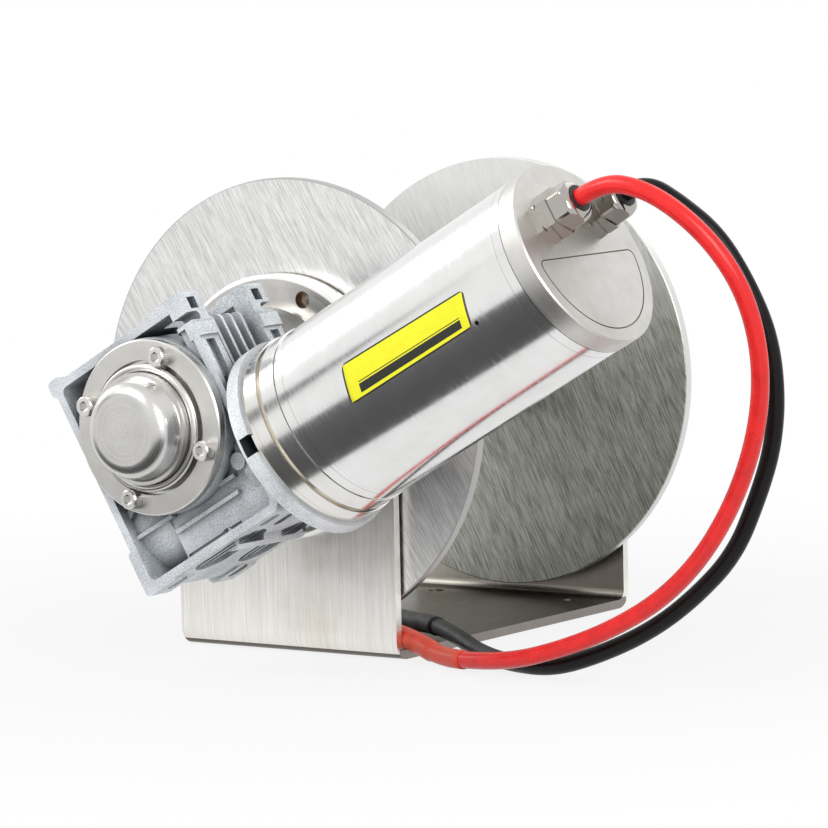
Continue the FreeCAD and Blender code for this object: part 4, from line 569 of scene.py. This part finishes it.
def soft(name, colour, roughness, grain=400, shine=0.5):
    """Rubber, plastic and carbon."""
    skin = Finish(name, colour, metallic=0.0, roughness=roughness)
    marks = skin.noise(grain)
    darker = tuple(value * 0.75 for value in colour)
    skin.colour(marks, [(0.25, darker), (0.7, colour)])
    skin.gloss(marks, [(0.3, max(0.05, roughness - 0.08)), (0.7, roughness + 0.08)])
    skin.bump(marks, 0.02, 0.25)
    skin.shader.inputs["Specular IOR Level"].default_value = shine
    return skin.material


def label_film():
    """Yellow film with a thin dark rim, a line and a plain dark bar."""
    film = Finish("label film", (0.92, 0.88, 0.03), metallic=0.0, roughness=0.3)
    film.colour(film.noise(300, 3.0), [(0.3, (0.89, 0.84, 0.025)), (0.7, (0.94, 0.90, 0.035))])
    film.shader.inputs["Specular IOR Level"].default_value = 0.3
    place = film.apart(film.flat)
    ink = (0.035, 0.035, 0.03)
    inside = film.maths("MULTIPLY", *[film.between(place[axis], rim, 1 - rim)
                                      for axis, rim in zip((X, Y), LABEL_RIM)])
    film.paint(film.maths("SUBTRACT", 1, inside), ink)
    width = film.between(place[X], *LABEL_PRINT)
    for low, high in LABEL_BANDS:
        film.paint(film.maths("MULTIPLY", width, film.between(place[Y], low, high)), ink)
    film.bump(film.noise(500, 2.0), 0.01, 0.2)
    return film.material


finishes = {
    "frame_steel": frame_steel(),
    "near_flange": near_flange_steel(),
    "far_flange": far_flange_steel(),
    "disc": disc_steel(),
    "cover": cover_steel(),
    "cap": cap_steel(),
    "motor_bell": bell_steel(),
    "motor_tube": tube_steel(),
    "motor_end": end_cap_steel(),
    "cast": cast("cast alloy", (0.82, 0.85, 0.875), (0.44, 0.465, 0.49)).material,
    "flange_cast": flange_cast(),
    "screw": plain_metal("screw steel", (0.70, 0.69, 0.67), 0.24),
    "bearing": plain_metal("bearing steel", (0.66, 0.66, 0.68), 0.18),
    "nickel": plain_metal("nickelled brass", (0.44, 0.42, 0.39), 0.11),
    "bronze": plain_metal("wheel bronze", (0.72, 0.48, 0.2), 0.3),
    "copper": plain_metal("copper", (0.8, 0.42, 0.28), 0.28),
    "ferrite": soft("ferrite", (0.05, 0.05, 0.055), 0.55),
    "carbon": soft("carbon", (0.03, 0.03, 0.03), 0.6),
    "board": soft("pressed board", (0.32, 0.2, 0.1), 0.6),
    "rubber": soft("black rubber", (0.02, 0.02, 0.02), 0.55),
    "red_sheath": soft("red sheath", (0.95, 0.022, 0.022), 0.26, grain=90, shine=0.4),
    "black_sheath": soft("black sheath", (0.006, 0.005, 0.005), 0.34, grain=90, shine=0.2),
    "red_shrink": soft("red shrink sleeve", (0.90, 0.085, 0.04), 0.36, grain=200, shine=0.4),
    "black_shrink": soft("black shrink sleeve", (0.012, 0.011, 0.011), 0.45, grain=200, shine=0.3),
    "tin": plain_metal("tinned copper", (0.76, 0.75, 0.73), 0.3),
    "label": label_film(),
}

node_finish = {
    "frame_steel": ["mounting_frame"],
    "near_flange": ["near_flange", "drum_barrel", "rope_clamp"],
    "far_flange": ["far_flange"],
    "disc": ["gearbox_mounting_disc"],
    "cover": ["output_cover_ring", "gearbox_adapter", "far_bearing_housing", "far_spacer",
              "drum_shaft", "wheel_hub"],
    "cap": ["output_cover_cap"],
    "motor_tube": ["motor_tube"],
    "motor_bell": ["motor_front_bell"],
    "motor_end": ["motor_end_cap"],
    "cast": ["gearbox_housing", "output_bearing_cover"],
    "flange_cast": ["input_flange"],
    "screw": ["mounting_screws", "adapter_screws", "cover_screws", "input_flange_screws",
              "motor_tie_bolts", "far_bearing_screws", "shaft_key", "shaft_end_washer",
              "shaft_end_bolt", "rope_clamp_screw"],
    "bearing": ["output_bearing_front", "output_bearing_rear", "worm_bearing_front",
                "worm_bearing_rear", "motor_bearing_front", "motor_bearing_rear", "worm_shaft",
                "motor_shaft"],
    "nickel": ["red_gland_lock_nut", "black_gland_lock_nut", "gland_bodies",
               "red_gland_dome_nut", "black_gland_dome_nut"],
    "bronze": ["worm_wheel", "far_bush"],
    "copper": ["commutator"],
    "ferrite": ["motor_magnets", "armature_core"],
    "carbon": ["carbon_brushes"],
    "board": ["brush_plate", "near_thrust_washer"],
    "rubber": ["output_seal_rear", "worm_seal", "worm_end_cap", "gland_seals"],
    "red_sheath": ["red_cable"],
    "black_sheath": ["black_cable"],
    "red_shrink": ["red_sleeve"],
    "black_shrink": ["black_sleeve"],
    "tin": ["red_ring_terminal", "black_ring_terminal"],
}


def dress_nodes():
    """Gives every CAD node its finish."""
    for finish, names in node_finish.items():
        for name in names:
            mesh = nodes[name].data
            mesh.materials.clear()
            mesh.materials.append(finishes[finish])


dress_nodes()


# Cables

def route_curve(name, points, radius):
    """A smooth curve with the route's corner points as its control points."""
    data = bpy.data.curves.new(name, "CURVE")
    data.dimensions = "3D"
    data.resolution_u = ROUTE_STEPS
    data.bevel_depth = radius
    data.bevel_resolution = CABLE_ROUNDING
    data.use_fill_caps = True
    spline = data.splines.new("NURBS")
    spline.points.add(len(points) - 1)
    for control, point in zip(spline.points, points):
        control.co = (*[value * MM for value in point], 1)
    spline.order_u = ROUTE_ORDER
    spline.use_endpoint_u = True
    return data


def centreline(name, points):
    """The smooth line of a route, as points close together."""
    data = route_curve(name, points, 0)
    thin = add_object(name, data)
    mesh = made_mesh(thin)
    line = [vertex.co.copy() for vertex in mesh.vertices]
    bpy.data.objects.remove(thin)
    bpy.data.meshes.remove(mesh)
    bpy.data.curves.remove(data)
    return line


def add_mesh(name, vertices, faces, finish, body="frame"):
    """A new smooth piece from a list of places and faces."""
    mesh = new_mesh(name, vertices, faces)
    mesh.materials.append(finishes[finish])
    for face in mesh.polygons:
        face.use_smooth = True
    piece = add_object(name, mesh)
    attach(piece, body)
    return piece


def sleeve_rings(line, layers):
    """The stretch of a cable's line that a sleeve covers, with its radius at each point."""
    first_start = layers[0][0]
    rings = []
    for point in line:
        if point.x > first_start * MM:
            continue
        radius = (CABLE_DIAMETER / 2 + SLEEVE_FIT) * MM
        for start, diameter in layers:
            inside = max(0, min(1, (start * MM - point.x) / (LAYER_EDGE * MM)))
            radius = max(radius, inside * diameter / 2 * MM)
        rings.append((point, radius))
    return rings


def sleeve(name, line, layers, finish):
    """Layers of shrunk sleeve over a cable, as a closed tube along the cable's line."""
    rings = sleeve_rings(line, layers)
    vertices = []
    side = Vector((0, 0, 1))
    for index, (point, radius) in enumerate(rings):
        after = rings[min(index + 1, len(rings) - 1)][0]
        before = rings[max(index - 1, 0)][0]
        forward = (after - before).normalized()
        side = (side - forward * side.dot(forward)).normalized()
        other = forward.cross(side)
        for step in range(SLEEVE_SIDES):
            turn = 2 * math.pi * step / SLEEVE_SIDES
            vertices.append(point + (side * math.cos(turn) + other * math.sin(turn)) * radius)
    faces = []
    for ring in range(len(rings) - 1):
        for step in range(SLEEVE_SIDES):
            here = ring * SLEEVE_SIDES + step
            beside = ring * SLEEVE_SIDES + (step + 1) % SLEEVE_SIDES
            faces.append((here, beside, beside + SLEEVE_SIDES, here + SLEEVE_SIDES))
    faces.append(tuple(reversed(range(SLEEVE_SIDES))))
    faces.append(tuple(range(len(vertices) - SLEEVE_SIDES, len(vertices))))
    piece = add_mesh(name + "_layers", vertices, faces, finish)
    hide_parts(name)
    return piece


def cable(colour, points, layers):
    """A battery cable from its gland to the lug on its end, with its shrink sleeve."""
    name = colour + "_cable"
    finish = colour + "_sheath"
    data = route_curve(name, points, CABLE_DIAMETER / 2 * MM)
    data.materials.append(finishes[finish])
    piece = add_object(name + "_run", data)
    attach(piece, "frame")
    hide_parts(name)
    line = centreline("line", points)
    covering = sleeve(colour + "_sleeve", line, layers, colour + "_shrink")


cable("red", RED_ROUTE, RED_LAYERS)
cable("black", BLACK_ROUTE, BLACK_LAYERS)


# Small pieces

def blend(first, second, share):
    """Goes from one list of values to another."""
    return [a + (b - a) * share for a, b in zip(first, second)]


def label():
    """A thin film on the motor tube, with rounded corners."""
    middle_height = LABEL_HEIGHT - 2 * LABEL_CORNER
    rows = LABEL_CORNER_ROWS + [LABEL_CORNER + middle_height * step / LABEL_ROWS
                                for step in range(1, LABEL_ROWS)]
    rows += [LABEL_HEIGHT - row for row in reversed(LABEL_CORNER_ROWS)]
    places = []
    for row in rows:
        from_edge = min(row, LABEL_HEIGHT - row)
        short = max(0, LABEL_CORNER - from_edge)
        inset = (LABEL_CORNER - math.sqrt(LABEL_CORNER ** 2 - short ** 2)) / LABEL_LENGTH
        for column in range(LABEL_COLUMNS + 1):
            along = inset + (1 - 2 * inset) * column / LABEL_COLUMNS
            places.append((along, row / LABEL_HEIGHT))
    vertices = []
    for along, down in places:
        top = blend(*LABEL_TOP, along)
        bottom = blend(*LABEL_BOTTOM, along)
        vertices.append(on_motor(*blend(top, bottom, down), MOTOR_RADIUS + LABEL_THICKNESS))
    faces = []
    for row in range(len(rows) - 1):
        for column in range(LABEL_COLUMNS):
            here = row * (LABEL_COLUMNS + 1) + column
            below = here + LABEL_COLUMNS + 1
            faces.append((here, below, below + 1, here + 1))
    piece = add_mesh("motor_label", vertices, faces, "label")
    layer = piece.data.uv_layers.new(name="label")
    for corner in piece.data.loops:
        layer.data[corner.index].uv = places[corner.vertex_index]
    wall = piece.modifiers.new("thickness", "SOLIDIFY")
    wall.thickness = (LABEL_THICKNESS - LABEL_GAP) * MM
    wall.offset = -1


def knurl_tree():
    """Ridges round a head, copied to every point that it is given."""
    tree = bpy.data.node_groups.new("knurl", "GeometryNodeTree")
    sockets = tree.interface
    for title, kind in (("Geometry", "NodeSocketGeometry"), ("Head radius", "NodeSocketFloat"),
                        ("Ridge radius", "NodeSocketFloat"), ("Ridge length", "NodeSocketFloat"),
                        ("Ridges", "NodeSocketInt"), ("Finish", "NodeSocketMaterial")):
        sockets.new_socket(title, in_out="INPUT", socket_type=kind)
    sockets.new_socket("Geometry", in_out="OUTPUT", socket_type="NodeSocketGeometry")

    given = add_node(tree, "NodeGroupInput").outputs
    result = add_node(tree, "NodeGroupOutput")
    ridge = add_node(tree, "GeometryNodeMeshCylinder", fill_type="TRIANGLE_FAN")
    ridge.inputs["Vertices"].default_value = RIDGE_SIDES
    circle = add_node(tree, "GeometryNodeMeshCircle")
    head = add_node(tree, "GeometryNodeInstanceOnPoints")
    lay = add_node(tree, "GeometryNodeTransform")
    lay.inputs["Rotation"].default_value = (math.radians(90), 0, 0)
    points = add_node(tree, "GeometryNodeMeshToPoints")
    copies = add_node(tree, "GeometryNodeInstanceOnPoints")
    real = add_node(tree, "GeometryNodeRealizeInstances")
    finish = add_node(tree, "GeometryNodeSetMaterial")
    wire(tree, (
        (given["Ridge radius"], ridge.inputs["Radius"]),
        (given["Ridge length"], ridge.inputs["Depth"]),
        (given["Ridges"], circle.inputs["Vertices"]),
        (given["Head radius"], circle.inputs["Radius"]),
        (circle.outputs["Mesh"], head.inputs["Points"]),
        (ridge.outputs["Mesh"], head.inputs["Instance"]),
        (head.outputs["Instances"], lay.inputs["Geometry"]),
        (given["Geometry"], points.inputs["Mesh"]),
        (points.outputs["Points"], copies.inputs["Points"]),
        (lay.outputs["Geometry"], copies.inputs["Instance"]),
        (copies.outputs["Instances"], real.inputs["Geometry"]),
        (real.outputs["Geometry"], finish.inputs["Geometry"]),
        (given["Finish"], finish.inputs["Material"]),
        (finish.outputs["Geometry"], result.inputs["Geometry"]),
    ))
    return tree


def from_tree(name, tree, points, values, body):
    """Runs a node tree on points and keeps what it makes as a plain piece."""
    mesh = new_mesh(name + "_points", points, [])
    maker = add_object(name + "_maker", mesh)
    modifier = maker.modifiers.new("tree", "NODES")
    modifier.node_group = tree
    for item in tree.interface.items_tree:
        if item.in_out == "INPUT" and item.name in values:
            modifier[item.identifier] = values[item.name]
    made = made_mesh(maker)
    bpy.data.objects.remove(maker)
    bpy.data.meshes.remove(mesh)
    piece = add_object(name, made)
    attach(piece, body)


def ridged_heads():
    """The fine ridges round the heads of the cover's screws."""
    places = []
    for angle in COVER_SCREW_ANGLES:
        turn = math.radians(angle)
        places.append(on_gearbox(COVER_SCREW_RING * math.cos(turn), COVER_HEAD_MIDDLE,
                                 COVER_SCREW_RING * math.sin(turn)))
    values = {"Head radius": (COVER_HEAD_RADIUS - RIDGE_SINK) * MM,
              "Ridge radius": RIDGE_RADIUS * MM, "Ridge length": RIDGE_LENGTH * MM,
              "Ridges": RIDGE_COUNT, "Finish": finishes["screw"]}
    from_tree("cover_screw_ridges", knurl_tree(), places, values, "frame")


label()
ridged_heads()


# Floor, backdrop and light

def floor_finish():
    """Pale floor that keeps a faint shadow near the winch and goes white further off."""
    pale = Finish("floor", (FLOOR_GREY, FLOOR_GREY, FLOOR_GREY), metallic=0.0, roughness=0.9)
    place = pale.apart(pale.place)
    share = pale.ramp(pale.reach(place[X], place[Y]), FLOOR_FADE)
    white = pale.node("ShaderNodeEmission")
    mix = pale.node("ShaderNodeMixShader")
    wire(pale.tree, (
        (pale.maths("MULTIPLY", seen_rays(pale.tree), share), mix.inputs[0]),
        (pale.shader.outputs[0], mix.inputs[1]),
        (white.outputs[0], mix.inputs[2]),
        (mix.outputs[0], pale.tree.nodes["Material Output"].inputs["Surface"]),
    ))
    return pale.material


def lay_floor():
    half = FLOOR_HALF
    square = [(-half, -half, 0), (half, -half, 0), (half, half, 0), (-half, half, 0)]
    mesh = new_mesh("floor", square, [(0, 1, 2, 3)])
    mesh.materials.append(floor_finish())
    floor = add_object("floor", mesh)


def backdrop():
    """A world that looks white, but lights the winch with less than that."""
    world = bpy.data.worlds.new("studio")
    world.use_nodes = True
    bpy.context.scene.world = world
    tree = world.node_tree
    soft_light = tree.nodes["Background"]
    soft_light.inputs["Color"].default_value = SOFT_LIGHT_COLOUR
    soft_light.inputs["Strength"].default_value = SOFT_LIGHT_STRENGTH
    white = add_node(tree, "ShaderNodeBackground")
    white.inputs["Color"].default_value = (1, 1, 1, 1)
    choose = add_node(tree, "ShaderNodeMixShader")
    wire(tree, (
        (seen_rays(tree), choose.inputs[0]),
        (soft_light.outputs[0], choose.inputs[1]),
        (white.outputs[0], choose.inputs[2]),
        (choose.outputs[0], tree.nodes["World Output"].inputs["Surface"]),
    ))


def lamp(name, place, size, power):
    """A square soft lamp that faces the winch."""
    data = bpy.data.lights.new(name, "AREA")
    data.size = size
    data.energy = power
    made = add_object(name, data)
    facing = (Vector(place) - VIEW_TARGET).to_track_quat("Z", "Y")
    made.matrix_world = Matrix.Translation(place) @ facing.to_matrix().to_4x4()


def flag(name, corners, grey):
    """A dark studio card that only shows as a reflection in polished metal."""
    mesh = new_mesh(name, corners, [(0, 1, 2, 3)])
    dull = Finish(name, (grey, grey, grey), metallic=0.0, roughness=0.9)
    mesh.materials.append(dull.material)
    card = add_object(name, mesh)
    for setting in ("camera", "diffuse", "transmission", "volume_scatter", "shadow"):
        setattr(card, "visible_" + setting, False)


camera()
lay_floor()
backdrop()
for settings in LAMPS:
    lamp(*settings)
for settings in CARDS:
    flag(*settings)
bpy.context.scene.view_settings.view_transform = "Standard"
